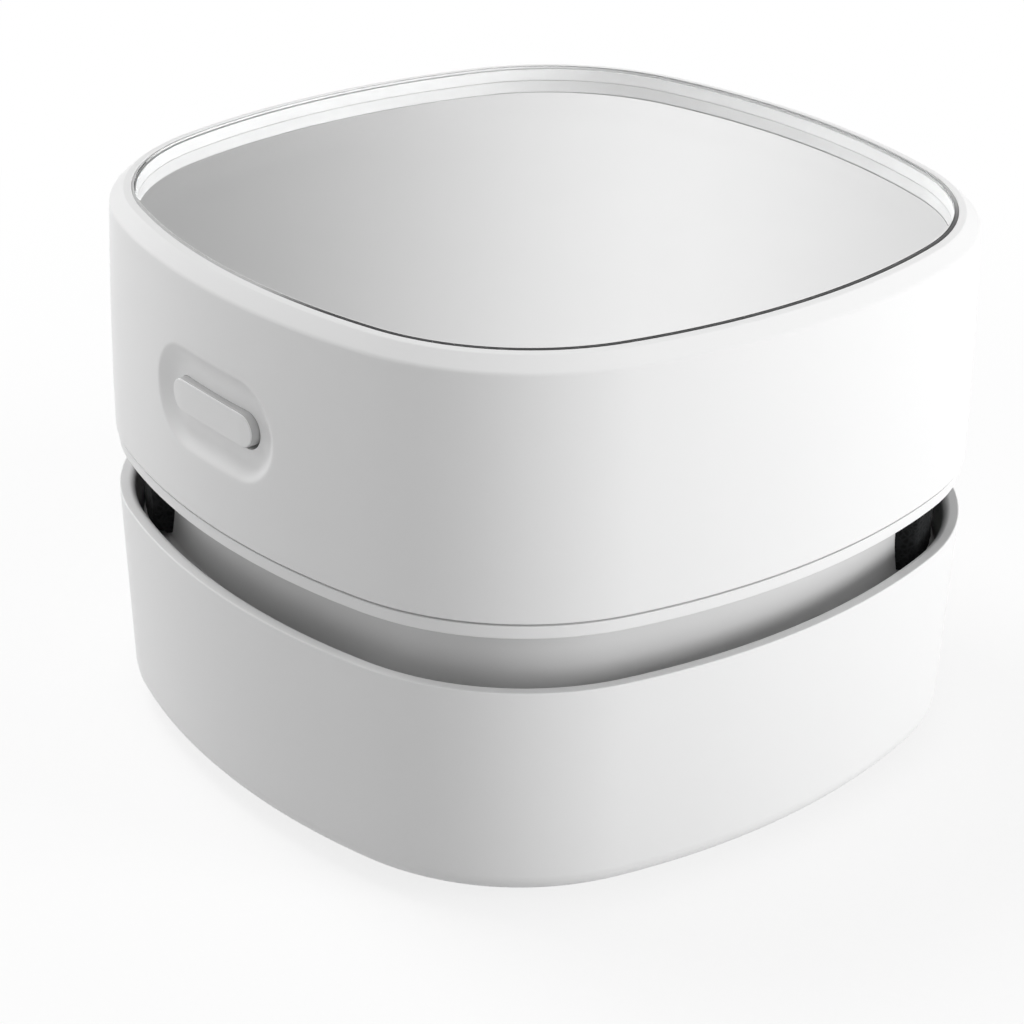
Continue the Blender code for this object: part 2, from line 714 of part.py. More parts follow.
def button_pad():
    """The thick pad behind the dish, which guides the button."""
    half_long, half_wide = (half + DISH_PAD_MARGIN for half in DISH_HALF)
    wall = side_wall_y(half_long, SHELL_INNER) + SHELL_WALL / 2
    return along_y(obround(half_long, half_wide), DISH_PAD_Y, wall, BUTTON_Z)


def dish():
    """A cutter whose coved side follows the curved wall, down to the dish's floor."""
    half_long, half_wide = DISH_HALF
    outside = -BODY_HALF - OVERRUN
    rings = [[(u, outside, BUTTON_Z + v) for u, v in obround(half_long, half_wide)]]
    for slope_share, depth_share in DISH_COVE_SHARES:
        inset = DISH_SLOPE * slope_share
        depth = DISH_DEPTH * depth_share
        outline = obround(half_long - inset, half_wide - inset)
        rings.append([(u, depth - side_wall_y(u, BUTTON_WALL_HALF), BUTTON_Z + v) for u, v in outline])
    bm = bmesh.new()
    rows = add_walls(bm, rings)
    bm.faces.new(rows[0])
    ladder_cap(bm, rows[-1])
    return bm


def button_hole():
    half_long, half_wide = (half + SEAT_GAP for half in BUTTON_HALF)
    return along_y(obround(half_long, half_wide), DISH_PAD_Y - OVERRUN, BODY_HALF + OVERRUN, BUTTON_Z)


def socket_slot():
    half_long, half_wide = (half + SOCKET_SLOT_GAP for half in SOCKET_HALF)
    return along_y(obround(half_long, half_wide), -BODY_HALF - OVERRUN, OVERRUN - SHELL_INNER, SOCKET_Z)


def build_window(look, parent):
    inner = DECK_HALF - WINDOW_SKIRT
    base = DECK_Z + SEAT_GAP
    top = LIP_Z - WINDOW_DROP
    section = [
        (inner, top - WINDOW_THICKNESS),
        (inner, base),
        (DECK_HALF, base),
        (DECK_HALF, top - WINDOW_EDGE),
        (DECK_HALF - WINDOW_EDGE, top),
    ]
    add_object("top_window", soft_loft(section), look, parent)


def build_deck(look, parent):
    add_object("deck_plate", soft_loft([(DECK_HALF, DECK_BASE_Z), (DECK_HALF, DECK_Z)]), look, parent)


def build_base_ring(look, parent):
    outer = BODY_HALF - RING_INSET
    inner = CORE_HALF + SEAT_GAP
    section = rounded([
        (inner, RING_TOP_Z, 0),
        (outer, RING_TOP_Z, SEAM_EDGE),
        (outer - RING_TAPER, RING_BASE_Z, RING_ROUND),
        (inner, RING_BASE_Z, 0),
    ])
    add_object("base_ring", soft_loft(section, closed=True), look, parent)


def build_vent_core(look, parent):
    """An inverted cup: web, waisted wall with two windows, and a grooved flange in the bin's mouth."""
    groove_half = FLANGE_HALF - SEAL_DEPTH
    groove_top = FLANGE_Z - SEAL_DROP + SEAT_GAP
    groove_base = groove_top - SEAL_HEIGHT - 2 * SEAT_GAP
    waist = []
    for k in range(WAIST_STEPS + 1):
        share = k / WAIST_STEPS
        half = CORE_HALF - CORE_WAIST * math.sin(math.pi * share)
        waist.append((half, FLANGE_Z + (RING_BASE_Z - FLANGE_Z) * share))
    section = [
        (CORE_INNER, WEB_Z),
        (CORE_INNER, STEP_Z),
        (FLANGE_INNER, STEP_Z),
        (FLANGE_INNER, FLANGE_BASE_Z),
        (FLANGE_HALF, FLANGE_BASE_Z),
        (FLANGE_HALF, groove_base),
        (groove_half, groove_base),
        (groove_half, groove_top),
        (FLANGE_HALF, groove_top),
        (FLANGE_HALF, FLANGE_Z),
    ] + waist + [(CORE_HALF, CORE_TOP_Z)]
    core = add_object("vent_core", soft_loft(section, facets=PLAIN), look, parent)
    low, high = WEB_Z - OVERRUN, CORE_TOP_Z + OVERRUN
    cut(core, "motor_hole", disc(CUP_RADIUS + SEAT_GAP, low, high))
    cut(core, "bolt_holes", posts(bolt_places(), BOLT_SHANK[0] + SEAT_GAP, low, high))
    sill, head = FLANGE_Z + VENT_SILL, RING_BASE_Z - VENT_HEAD
    cut(core, "windows", corner_boxes(VENT_HALF_WIDTH, CORE_INNER - CORE_WALL, sill, head))


def build_foams(look, parent):
    """Filter foam behind each corner window, bent to the core's inner wall."""
    outer = CORE_INNER - SEAT_GAP
    inner = outer - FOAM_THICKNESS
    low, high = STEP_Z + SEAT_GAP, WEB_Z - SEAT_GAP
    section = [(inner, low), (outer, low), (outer, high), (inner, high)]
    half_width = VENT_HALF_WIDTH + FOAM_LAP
    keep_low = (BOLT_CIRCLE, -half_width, low - OVERRUN)
    keep_high = (CORNER_REACH, half_width, high + OVERRUN)
    for side, sign in SIDES:
        foam = add_object(f"exhaust_foam_{side}", soft_loft(section, True, PLAIN), look, parent)
        turn = math.pi * (3 / 4 - sign / 2)
        combine(foam, "INTERSECT", "corner", box(keep_low, keep_high, turn))


def build_seal(look, parent):
    outer = FLANGE_HALF + SEAL_PROUD
    inner = FLANGE_HALF - SEAL_DEPTH + SEAT_GAP
    top = FLANGE_Z - SEAL_DROP
    base = top - SEAL_HEIGHT
    section = [(inner, base), (outer, base), (outer, top), (inner, top)]
    add_object("seal_ring", soft_loft(section, True, PLAIN), look, parent)


def build_fan_housing(look, parent):
    """The plate under the fan, with a guarded inlet, and a wall that opens to both corner windows."""
    plate = soft_loft([(FRAME_HALF, SEPARATOR_BASE_Z), (FRAME_HALF, SEPARATOR_Z)], facets=PLAIN)
    housing = add_object("fan_housing", plate, look, parent)
    inner = FAN_RADIUS + FAN_WALL_GAP
    outer = inner + FAN_WALL
    low, high = SEPARATOR_BASE_Z + SEPARATOR / 2, WEB_Z - SEAT_GAP
    wall = lathe([(inner, low), (outer, low), (outer, high), (inner, high)], closed=True)
    join(housing, "wall", wall)
    cut(housing, "inlet", disc(FAN_INLET, SEPARATOR_BASE_Z - OVERRUN, SEPARATOR_Z + OVERRUN))
    outlets = corner_boxes(OUTLET_HALF_WIDTH, FAN_RADIUS / 2, SEPARATOR_Z + SKIM, high + OVERRUN)
    cut(housing, "outlets", outlets)
    bars = cross(FAN_INLET + SINK, GUARD_BAR / 2)
    join(housing, "guard", add_prism(bmesh.new(), bars, SEPARATOR_BASE_Z + SKIM, SEPARATOR_Z - SKIM))


def cross(reach, half_bar):
    """The outline of two bars that cross in the middle."""
    arm = [(reach, -half_bar), (reach, half_bar), (half_bar, half_bar)]
    turns = ((1, 0), (0, 1), (-1, 0), (0, -1))
    return [(c * x - s * y, s * x + c * y) for c, s in turns for x, y in arm]


def build_filter_frame(look, parent):
    section = [
        (FRAME_INNER, FRAME_FLOOR_Z),
        (FRAME_INNER, FRAME_TOP_Z),
        (FRAME_HALF, FRAME_TOP_Z),
        (FRAME_HALF, FRAME_BASE_Z),
    ]
    frame = add_object("filter_frame", soft_loft(section, facets=PLAIN), look, parent)
    cells = bmesh.new()
    pitch = 2 * FRAME_INNER / FRAME_CELLS
    half = (pitch - FRAME_BAR) / 2
    middle = (FRAME_CELLS - 1) / 2
    for row in range(FRAME_CELLS):
        for column in range(FRAME_CELLS):
            x, y = (column - middle) * pitch, (row - middle) * pitch
            if math.hypot(x, y) + half < FRAME_INNER:
                low = (x - half, y - half, FRAME_BASE_Z - OVERRUN)
                add_box(cells, low, (x + half, y + half, FRAME_FLOOR_Z + OVERRUN))
    cut(frame, "cells", cells)


def build_filter_pad(look, parent):
    half = FRAME_INNER - SEAT_GAP
    base = FRAME_FLOOR_Z + SEAT_GAP
    pad = soft_loft([(half, base), (half, base + PAD_THICKNESS)], facets=PLAIN)
    add_object("filter_pad", pad, look, parent)


def build_chassis(look, parent):
    plate = soft_loft([(CHASSIS_HALF, CHASSIS_BASE_Z), (CHASSIS_HALF, CHASSIS_Z)], facets=PLAIN)
    chassis = add_object("chassis_plate", plate, look, parent)
    cup = flat_sided(CUP_RADIUS, MOTOR_FLAT + SEAT_GAP + CUP_WALL)
    bore = flat_sided(MOTOR_RADIUS + SEAT_GAP, MOTOR_FLAT + SEAT_GAP)
    root_z = CHASSIS_Z - SINK
    charge_post_z = CHASSIS_Z + CHARGE_POST_HEIGHT
    join(chassis, "cup", add_prism(bmesh.new(), cup, CUP_BASE_Z, CUP_TOP_Z))
    join(chassis, "clamp_posts", posts(clamp_places(), POST_RADIUS, root_z, CUP_TOP_Z))
    join(chassis, "charge_posts", posts(charge_places(), CHARGE_POST_RADIUS, root_z, charge_post_z))
    join(chassis, "board_guides", board_guides())
    cut(chassis, "motor_bore", add_prism(bmesh.new(), bore, CUP_LIP_Z, CUP_TOP_Z + OVERRUN))
    cut(chassis, "nose_hole", disc(NOSE_RADIUS + SEAT_GAP, CUP_BASE_Z - OVERRUN, CUP_LIP_Z + OVERRUN))
    low = CHASSIS_BASE_Z - OVERRUN
    pilot = SMALL_SHANK[0] + SEAT_GAP
    cut(chassis, "bolt_holes", posts(bolt_places(), BOLT_SHANK[0] + SEAT_GAP, low, CHASSIS_Z + OVERRUN))
    clamp_low = CUP_TOP_Z - SMALL_SHANK[1]
    cut(chassis, "clamp_pilots", posts(clamp_places(), pilot, clamp_low, CUP_TOP_Z + OVERRUN))
    cut(chassis, "charge_pilots", posts(charge_places(), pilot, low, charge_post_z + OVERRUN))
    cut(chassis, "board_slot", board_slot())


def board_guides():
    """Two uprights that hold the control board by its ends."""
    bm = bmesh.new()
    width, depth, height = GUIDE_SIZE
    middle = -(CONTROL_FRONT_Y + CONTROL_BACK_Y) / 2
    for _, sign in SIDES:
        x = sign * CONTROL_HALF_WIDTH
        low = (x - width / 2, middle - depth / 2, CHASSIS_Z - SINK)
        add_box(bm, low, (x + width / 2, middle + depth / 2, CHASSIS_Z + height))
    return bm


def board_slot():
    half_width = CONTROL_HALF_WIDTH + SEAT_GAP
    top = CHASSIS_Z + GUIDE_SIZE[2] + OVERRUN
    low = (-half_width, -CONTROL_FRONT_Y - SEAT_GAP, CHASSIS_Z + SKIM)
    return box(low, (half_width, -CONTROL_BACK_Y + SEAT_GAP, top))


def build_bolts(look, parent):
    for number, place in enumerate(bolt_places(), 1):
        name = f"chassis_screw_{number}"
        add_screw(name, place, BOLT_SEAT_Z, BOLT_TIP_Z, look, parent, BOLT_HEAD, BOLT_SHANK[0])


def build_motor(looks, parent):
    barrel = add_prism(bmesh.new(), flat_sided(MOTOR_RADIUS, MOTOR_FLAT), MOTOR_BASE_Z, MOTOR_TOP_Z)
    can = add_object("motor_can", barrel, looks["steel"], parent)
    bore_top = MOTOR_BASE_Z + SHAFT_DEPTH + SEAT_GAP
    join(can, "nose", disc(NOSE_RADIUS, NOSE_Z, MOTOR_BASE_Z + SINK))
    cut(can, "shaft_bore", posts([(0, 0)], SHAFT_RADIUS + SHAFT_GAP, NOSE_Z - OVERRUN, bore_top))
    lid = flat_sided(MOTOR_RADIUS - CAP_INSET, MOTOR_FLAT - CAP_INSET)
    plate = add_prism(bmesh.new(), lid, CAP_BASE_Z, CAP_TOP_Z)
    cap = add_object("motor_end_cap", plate, looks["nylon"], parent)
    join(cap, "boss", disc(CAP_BOSS_RADIUS, CAP_TOP_Z - SINK, CAP_TOP_Z + CAP_BOSS_HEIGHT))
    wide, deep, tall = TERMINAL_SIZE
    for side, sign in SIDES:
        x = sign * TERMINAL_SPREAD
        low = (x - wide / 2, -deep / 2, TERMINAL_Z)
        high = (x + wide / 2, deep / 2, TERMINAL_Z + tall)
        add_object(f"motor_terminal_{side}", box(low, high), looks["brass"], parent)


def build_clamp(looks, parent):
    """A flat collar with two ears, which holds the motor down in its cup."""
    top = CLAMP_Z + CLAMP_THICKNESS
    reach = MOTOR_RADIUS + SEAT_GAP
    flat = MOTOR_FLAT + SEAT_GAP
    collar = add_prism(bmesh.new(), flat_sided(reach + CLAMP_RIM, flat + CLAMP_RIM), CLAMP_Z, top)
    clamp = add_object("motor_clamp", collar, looks["grey"], parent)
    ears = add_prism(bmesh.new(), obround(CLAMP_REACH + CLAMP_EAR, CLAMP_EAR), CLAMP_Z + SKIM, top - SKIM)
    join(clamp, "ears", ears)
    cut(clamp, "bore", add_prism(bmesh.new(), flat_sided(reach, flat), CLAMP_Z - OVERRUN, top + OVERRUN))
    cut(clamp, "holes", posts(clamp_places(), SMALL_SHANK[0] + SEAT_GAP, CLAMP_Z - OVERRUN, top + OVERRUN))
    tip = CUP_TOP_Z - SMALL_SHANK[1] + SEAT_GAP
    for (side, _), place in zip(SIDES, clamp_places()):
        add_screw(f"clamp_screw_{side}", place, top + SEAT_GAP, tip, looks["steel"], parent)


def build_impeller(look, parent):
    """The centrifugal fan: a dished plate with a hub, and backward curved blades under it."""
    bore = SHAFT_RADIUS + SHAFT_GAP
    plate_base = FAN_TOP_Z - FAN_PLATE
    section = [
        (bore, BLADE_BASE_Z),
        (FAN_HUB_RADIUS, BLADE_BASE_Z),
        (FAN_HUB_RADIUS + FAN_PLATE / 2, (BLADE_BASE_Z + plate_base) / 2),
        (FAN_EYE, plate_base - FAN_PLATE),
        (FAN_RADIUS, plate_base),
        (FAN_RADIUS, FAN_TOP_Z),
        (bore, FAN_TOP_Z),
    ]
    fan = add_object("impeller", lathe(section, closed=True), look, parent)
    blades = bmesh.new()
    for k in range(BLADE_COUNT):
        outline = blade_outline(2 * math.pi * k / BLADE_COUNT)
        add_prism(blades, outline, BLADE_BASE_Z, FAN_TOP_Z - FAN_PLATE / 2)
    join(fan, "blades", blades)


def blade_outline(turn):
    """A blade seen from above: a thin strip that leans back on its way out from the eye."""
    start, end = FAN_EYE, FAN_RADIUS - BLADE_THICKNESS
    front, back = [], []
    for k in range(BLADE_STEPS + 1):
        share = k / BLADE_STEPS
        radius = start + (end - start) * share
        angle = turn - BLADE_SWEEP * share ** BLADE_CURVE_SHARE
        lean = BLADE_THICKNESS / 2 / radius
        front.append((radius * math.cos(angle + lean), radius * math.sin(angle + lean)))
        back.append((radius * math.cos(angle - lean), radius * math.sin(angle - lean)))
    return front + back[::-1]


def build_shaft(look, parent):
    shaft = posts([(0, 0)], SHAFT_RADIUS, BLADE_BASE_Z, MOTOR_BASE_Z + SHAFT_DEPTH)
    add_object("motor_shaft", shaft, look, parent)


def build_button(look, parent):
    """The oblong cap, the flange that keeps it in, and the stem that reaches the switch."""
    half_long, half_wide = BUTTON_HALF
    flange = (half_long + BUTTON_FLANGE, half_wide + BUTTON_FLANGE)

    def curved(inset, recess):
        outline = obround(half_long - inset, half_wide - inset)
        return [(u, recess - side_wall_y(u, BUTTON_WALL_HALF), BUTTON_Z + v) for u, v in outline]

    def flat(halves, y):
        return [(u, -y, BUTTON_Z + v) for u, v in obround(*halves)]

    bm = bmesh.new()
    rows = add_walls(bm, [
        curved(BUTTON_EDGE, BUTTON_RECESS),
        curved(BUTTON_EDGE / 4, BUTTON_RECESS + BUTTON_EDGE / 4),
        curved(0, BUTTON_RECESS + BUTTON_EDGE),
        flat(BUTTON_HALF, FLANGE_FRONT_Y),
        flat(flange, FLANGE_FRONT_Y),
        flat(flange, FLANGE_BACK_Y),
        flat(STEM_HALF, FLANGE_BACK_Y),
        flat(STEM_HALF, STEM_Y),
    ])
    ladder_cap(bm, rows[0])
    bm.faces.new(rows[-1])
    add_object("power_button", bm, look, parent)


def build_switch(look, parent):
    half_width, half_height = SWITCH_SIZE[0] / 2, SWITCH_SIZE[2] / 2
    low = (-half_width, -SWITCH_Y, BUTTON_Z - half_height)
    high = (half_width, -SWITCH_BACK_Y, BUTTON_Z + half_height)
    body = add_object("switch_body", box(low, high), look, parent)
    depth = PLUNGER_SINK + PLUNGER_TRAVEL + SEAT_GAP
    bore = circle(PLUNGER_RADIUS + SEAT_GAP, SMALL_STEPS)
    cut(body, "plunger_bore", along_y(bore, SWITCH_Y - depth, SWITCH_Y + OVERRUN, BUTTON_Z))


def build_plunger(look, parent):
    plunger = along_y(circle(PLUNGER_RADIUS, SMALL_STEPS), SWITCH_Y - PLUNGER_SINK, PLUNGER_Y, BUTTON_Z)
    add_object("switch_plunger", plunger, look, parent)


def build_control_board(look, parent):
    low = (-CONTROL_HALF_WIDTH, -CONTROL_FRONT_Y, CONTROL_BASE_Z)
    high = (CONTROL_HALF_WIDTH, -CONTROL_BACK_Y, CONTROL_TOP_Z)
    add_object("control_board", box(low, high), look, parent)


def build_charge_board(looks, parent):
    low = (-CHARGE_HALF_WIDTH, CHARGE_FRONT_Y, CHARGE_BASE_Z)
    high = (CHARGE_HALF_WIDTH, CHARGE_BACK_Y, CHARGE_Z)
    board = add_object("charge_board", box(low, high), looks["board"], parent)
    hole = SMALL_SHANK[0] + SEAT_GAP
    cut(board, "holes", posts(charge_places(), hole, CHARGE_BASE_Z - OVERRUN, CHARGE_Z + OVERRUN))
    tip = CHASSIS_BASE_Z + SEAT_GAP
    for (side, _), place in zip(SIDES, charge_places()):
        add_screw(f"board_screw_{side}", place, CHARGE_Z + SEAT_GAP, tip, looks["steel"], parent)


def build_socket(looks, parent):
    """The socket's metal sleeve, and the insulated tongue inside it."""
    inner = tuple(half - SOCKET_WALL for half in SOCKET_HALF)
    root = tuple(half - SEAT_GAP for half in inner)
    root_y = SOCKET_BACK_Y + TONGUE_ROOT
    tip_y = SOCKET_MOUTH_Y - TONGUE_SETBACK
    sleeve = socket_loft([
        (SOCKET_HALF, SOCKET_BACK_Y),
        (SOCKET_HALF, SOCKET_MOUTH_Y),
        (inner, SOCKET_MOUTH_Y),
        (inner, SOCKET_BACK_Y),
    ], closed=True)
    tongue = socket_loft([(root, SOCKET_BACK_Y), (root, root_y), (TONGUE_HALF, root_y), (TONGUE_HALF, tip_y)])
    add_object("usb_shell", sleeve, looks["steel"], parent)
    add_object("usb_tongue", tongue, looks["black"], parent)


def socket_loft(stations, closed=False):
    """An obround loft along Y from ((half length, half width), y) stations."""
    rings = [[(u, y, SOCKET_Z + v) for u, v in obround(*halves, SOCKET_STEPS)] for halves, y in stations]
    return add_loft(bmesh.new(), rings, closed)


def build_cell(look, parent):
    """A cylindrical cell with a crimped groove and a raised end."""
    nub_radius, nub_height = CELL_NUB
    groove_depth, groove_width = CELL_GROOVE
    body_end = CELL_END_X - nub_height
    groove_x = body_end - 2 * groove_width
    stations = (
        (CELL_RADIUS - groove_depth, -CELL_END_X),
        (CELL_RADIUS, groove_depth - CELL_END_X),
        (CELL_RADIUS, groove_x - groove_width),
        (CELL_RADIUS - groove_depth, groove_x - groove_width / 2),
        (CELL_RADIUS, groove_x),
        (CELL_RADIUS, body_end - groove_depth),
        (CELL_RADIUS - groove_depth, body_end),
        (nub_radius, body_end),
        (nub_radius, CELL_END_X),
    )
    rings = [[(x, CELL_Y + u, CELL_Z + v) for u, v in circle(radius, CELL_STEPS)] for radius, x in stations]
    add_object("battery_cell", add_loft(bmesh.new(), rings), look, parent)


def build_cradle(look, parent):
    """A trough under the cell, open in the middle, with a wall behind each contact."""
    low = (-CRADLE_END_X, CELL_Y - CRADLE_HALF_DEPTH, CRADLE_BASE_Z)
    high = (CRADLE_END_X, CELL_Y + CRADLE_HALF_DEPTH, CRADLE_TOP_Z)
    cradle = add_object("battery_cradle", box(low, high), look, parent)
    trough = circle(CELL_RADIUS + SEAT_GAP, CELL_STEPS)
    place = lambda u, v, w: (w, CELL_Y + u, CELL_Z + v)
    cut(cradle, "trough", add_prism(bmesh.new(), trough, -CRADLE_INNER_X, CRADLE_INNER_X, place))
    depth = CRADLE_HALF_DEPTH + OVERRUN
    top = CRADLE_TOP_Z + OVERRUN
    opening_low = (-CRADLE_OPENING, CELL_Y - depth, CRADLE_FLOOR_Z)
    cut(cradle, "opening", box(opening_low, (CRADLE_OPENING, CELL_Y + depth, top)))
    slots = bmesh.new()
    half_width = CONTACT_HALF_WIDTH + SEAT_GAP
    for _, sign in SIDES:
        inner, outer = sorted((sign * (CONTACT_X - SEAT_GAP), sign * CRADLE_INNER_X))
        slot_low = (inner, CELL_Y - half_width, CRADLE_FLOOR_Z)
        add_box(slots, slot_low, (outer, CELL_Y + half_width, top))
    cut(cradle, "contact_slots", slots)


def build_contacts(look, parent):
    for side, sign in SIDES:
        inner, outer = sorted((sign * CONTACT_X, sign * (CONTACT_X + CONTACT_THICKNESS)))
        low = (inner, CELL_Y - CONTACT_HALF_WIDTH, CELL_BASE_Z)
        high = (outer, CELL_Y + CONTACT_HALF_WIDTH, CRADLE_TOP_Z + CONTACT_RISE)
        add_object(f"battery_contact_{side}", box(low, high), look, parent)


def add_lead(name, route, look, parent):
    """A round insulated wire along a cubic curve through four control points."""
    start, pull, drop, end = (Vector(point) - parent.matrix_world.translation for point in route)
    curve = bpy.data.curves.new(name, "CURVE")
    curve.dimensions = "3D"
    curve.bevel_depth = LEAD_RADIUS
    curve.bevel_resolution = 2
    curve.use_fill_caps = True
    spline = curve.splines.new("POLY")
    spline.points.add(LEAD_POINTS - 1)
    for k, point in enumerate(spline.points):
        t = k / (LEAD_POINTS - 1)
        s = 1 - t
        point.co = (*(start * s ** 3 + pull * 3 * s * s * t + drop * 3 * s * t * t + end * t ** 3), 1)
    curve.materials.append(look)
    made = bpy.data.objects.new(name, curve)
    bpy.context.scene.collection.objects.link(made)
    made.parent = parent


def build_leads(looks, parent):
    """Two wires from the motor to the control board, and two from the battery to the charging board."""
    _, deep, tall = TERMINAL_SIZE
    tap_z = TERMINAL_Z + tall * LEAD_TAP_SHARE
    board_y = -CONTROL_BACK_Y + SEAT_GAP + LEAD_RADIUS
    board_z = CONTROL_TOP_Z - LEAD_LANDING
    contact_x = CONTACT_X + CONTACT_THICKNESS + SEAT_GAP + LEAD_RADIUS
    contact_z = CRADLE_TOP_Z + CONTACT_RISE / 2
    charge_x = CHARGE_HALF_WIDTH - SMALL_HEAD[0]
    charge_y = CHARGE_FRONT_Y + 2 * HEAD_POCKET + LEAD_RADIUS
    high = tap_z + LEAD_RISE
    for side, sign in SIDES:
        x = sign * TERMINAL_SPREAD
        tap = (x, -deep / 2 - SEAT_GAP, tap_z)
        route = (tap, (x, board_y / 2, high), (x, board_y, high), (x, board_y, board_z))
        add_lead(f"motor_lead_{side}", route, looks["red" if sign < 0 else "black"], parent)
        start_x, end_x = sign * contact_x, sign * charge_x
        pull = (sign * (contact_x + LEAD_RISE), CELL_Y + 2 * CELL_RADIUS, contact_z + LEAD_RISE)
        drop = (end_x, charge_y, contact_z)
        route = ((start_x, CELL_Y, contact_z), pull, drop, (end_x, charge_y, CHARGE_Z + SEAT_GAP))
        add_lead(f"battery_lead_{side}", route, looks["red" if sign > 0 else "black"], parent)


def build_bin(look, parent):
    """The lower shell: tapered wall, rounded foot, inlet chimney, and ribs that the head stands on."""
    section = rounded([
        (BIN_BASE_INNER - 2 * BIN_EDGE, BIN_FLOOR_Z, 0),
        (BIN_BASE_INNER, BIN_FLOOR_Z, BIN_EDGE - BIN_WALL),
        (BIN_RIM_INNER, RIM_Z - BIN_RIM_FALL, BIN_RIM_ROUND),
        (BODY_HALF, RIM_Z, BIN_RIM_ROUND),
        (BIN_BASE_HALF, BIN_BASE_Z, BIN_EDGE),
        (BIN_BASE_HALF - 2 * BIN_EDGE, BIN_BASE_Z, 0),
    ])
    shell = add_object("dust_bin", soft_loft(section), look, parent)
    under = BIN_BASE_Z - OVERRUN
    pilot = SMALL_SHANK[0] + SEAT_GAP
    join(shell, "boss", disc(POCKET_RADIUS + BOSS_WALL, BIN_BASE_Z + SINK, BOSS_Z))
    join(shell, "chimney", disc(INLET_RADIUS + CHIMNEY_WALL, BOSS_Z - SINK, CHIMNEY_Z))
    join(shell, "seat_ribs", seat_ribs())
    cut(shell, "inlet", disc(INLET_RADIUS, under, CHIMNEY_Z + OVERRUN))
    cut(shell, "holder_pocket", disc(POCKET_RADIUS, under, POCKET_Z))
    cut(shell, "pilots", posts(holder_places(), pilot, under, BOSS_Z - SINK))
    cut(shell, "foot_pockets", posts(foot_places(), FOOT_RADIUS + SEAT_GAP, under, BIN_BASE_Z + FOOT_SINK))


def seat_ribs():
    """Upright ribs on the bin's wall, two to a side, whose tops carry the head."""
    bm = bmesh.new()
    wall_y = side_wall_y(RIB_SPREAD, BIN_BASE_INNER)
    for quarter in range(4):
        for _, sign in SIDES:
            x = sign * RIB_SPREAD
            low = (x - RIB_THICKNESS / 2, wall_y - RIB_DEPTH, BIN_FLOOR_Z - SINK)
            high = (x + RIB_THICKNESS / 2, wall_y + BIN_WALL / 2, FLANGE_BASE_Z - SEAT_GAP)
            add_box(bm, low, high, quarter * math.pi / 2)
    return bm


def build_brush_holder(looks, parent):
    groove_z = HOLDER_BASE_Z + GROOVE_DEPTH
    section = [
        (HOLDER_BORE, HOLDER_BASE_Z),
        (GROOVE_INNER, HOLDER_BASE_Z),
        (GROOVE_INNER, groove_z),
        (GROOVE_OUTER, groove_z),
        (GROOVE_OUTER, HOLDER_BASE_Z),
        (HOLDER_RADIUS, HOLDER_BASE_Z),
        (HOLDER_RADIUS, HOLDER_TOP_Z),
        (HOLDER_BORE, HOLDER_TOP_Z),
    ]
    holder = add_object("brush_holder", lathe(section, closed=True), looks["grey"], parent)
    seat = HOLDER_BASE_Z + SMALL_HEAD[1]
    hole = SMALL_SHANK[0] + SEAT_GAP
    under = HOLDER_BASE_Z - OVERRUN
    cut(holder, "head_pockets", posts(holder_places(), HEAD_POCKET, under, seat + SEAT_GAP))
    cut(holder, "holes", posts(holder_places(), hole, seat, HOLDER_TOP_Z + OVERRUN))
    tip = BOSS_Z - SINK - SEAT_GAP
    for (side, _), place in zip(SIDES, holder_places()):
        add_screw(f"holder_screw_{side}", place, seat, tip, looks["steel"], parent)


def build_brushes(look, parent):
    """Four curved strips of nylon bristles round the inlet, each on its backing."""
    inner, outer = GROOVE_INNER + SEAT_GAP, GROOVE_OUTER - SEAT_GAP
    middle = (inner + outer) / 2
    top = HOLDER_BASE_Z + GROOVE_DEPTH - SEAT_GAP
    base = top - BACKING_HEIGHT
    gap_turn = STRIP_GAP / middle
    for quarter, name in enumerate(("back_right", "back_left", "front_left", "front_right")):
        start = quarter * math.pi / 2 + gap_turn / 2
        end = (quarter + 1) * math.pi / 2 - gap_turn / 2
        outline = arc((0, 0), outer, start, end, END_STEPS) + arc((0, 0), inner, end, start, END_STEPS)
        strip = add_object(f"brush_strip_{name}", add_prism(bmesh.new(), outline, base, top), look, parent)
        join(strip, "bristles", bristles(middle, start, end, (base + top) / 2))


def bristles(middle, start, end, root_z):
    """Staggered rows of upright strands, each a thin prism that narrows to its tip."""
    bm = bmesh.new()
    tip = BRISTLE_RADIUS * BRISTLE_TIP_SHARE
    for row in range(ROW_COUNT):
        radius = middle + (row - (ROW_COUNT - 1) / 2) * ROW_STEP
        stagger = ROW_STAGGER_SHARE if row % 2 else 1 - ROW_STAGGER_SHARE
        for k in range(ROW_BRISTLES):
            angle = start + (end - start) * (k + stagger) / ROW_BRISTLES
            place = (radius * math.cos(angle), radius * math.sin(angle))
            stations = ((BRISTLE_RADIUS, root_z), (tip, BRISTLE_CLEARANCE))
            add_loft(bm, [[(x, y, z) for x, y in circle(r, 3, place)] for r, z in stations])
    return bm


def build_feet(look, parent):
    section = [
        (FOOT_RADIUS - FOOT_ROUND, 0),
        (FOOT_RADIUS, FOOT_ROUND),
        (FOOT_RADIUS, BIN_BASE_Z + FOOT_SINK - SEAT_GAP),
    ]
    for number, place in enumerate(foot_places(), 1):
        add_object(f"glide_foot_{number}", lathe(section, steps=SMALL_STEPS, centre=place), look, parent)


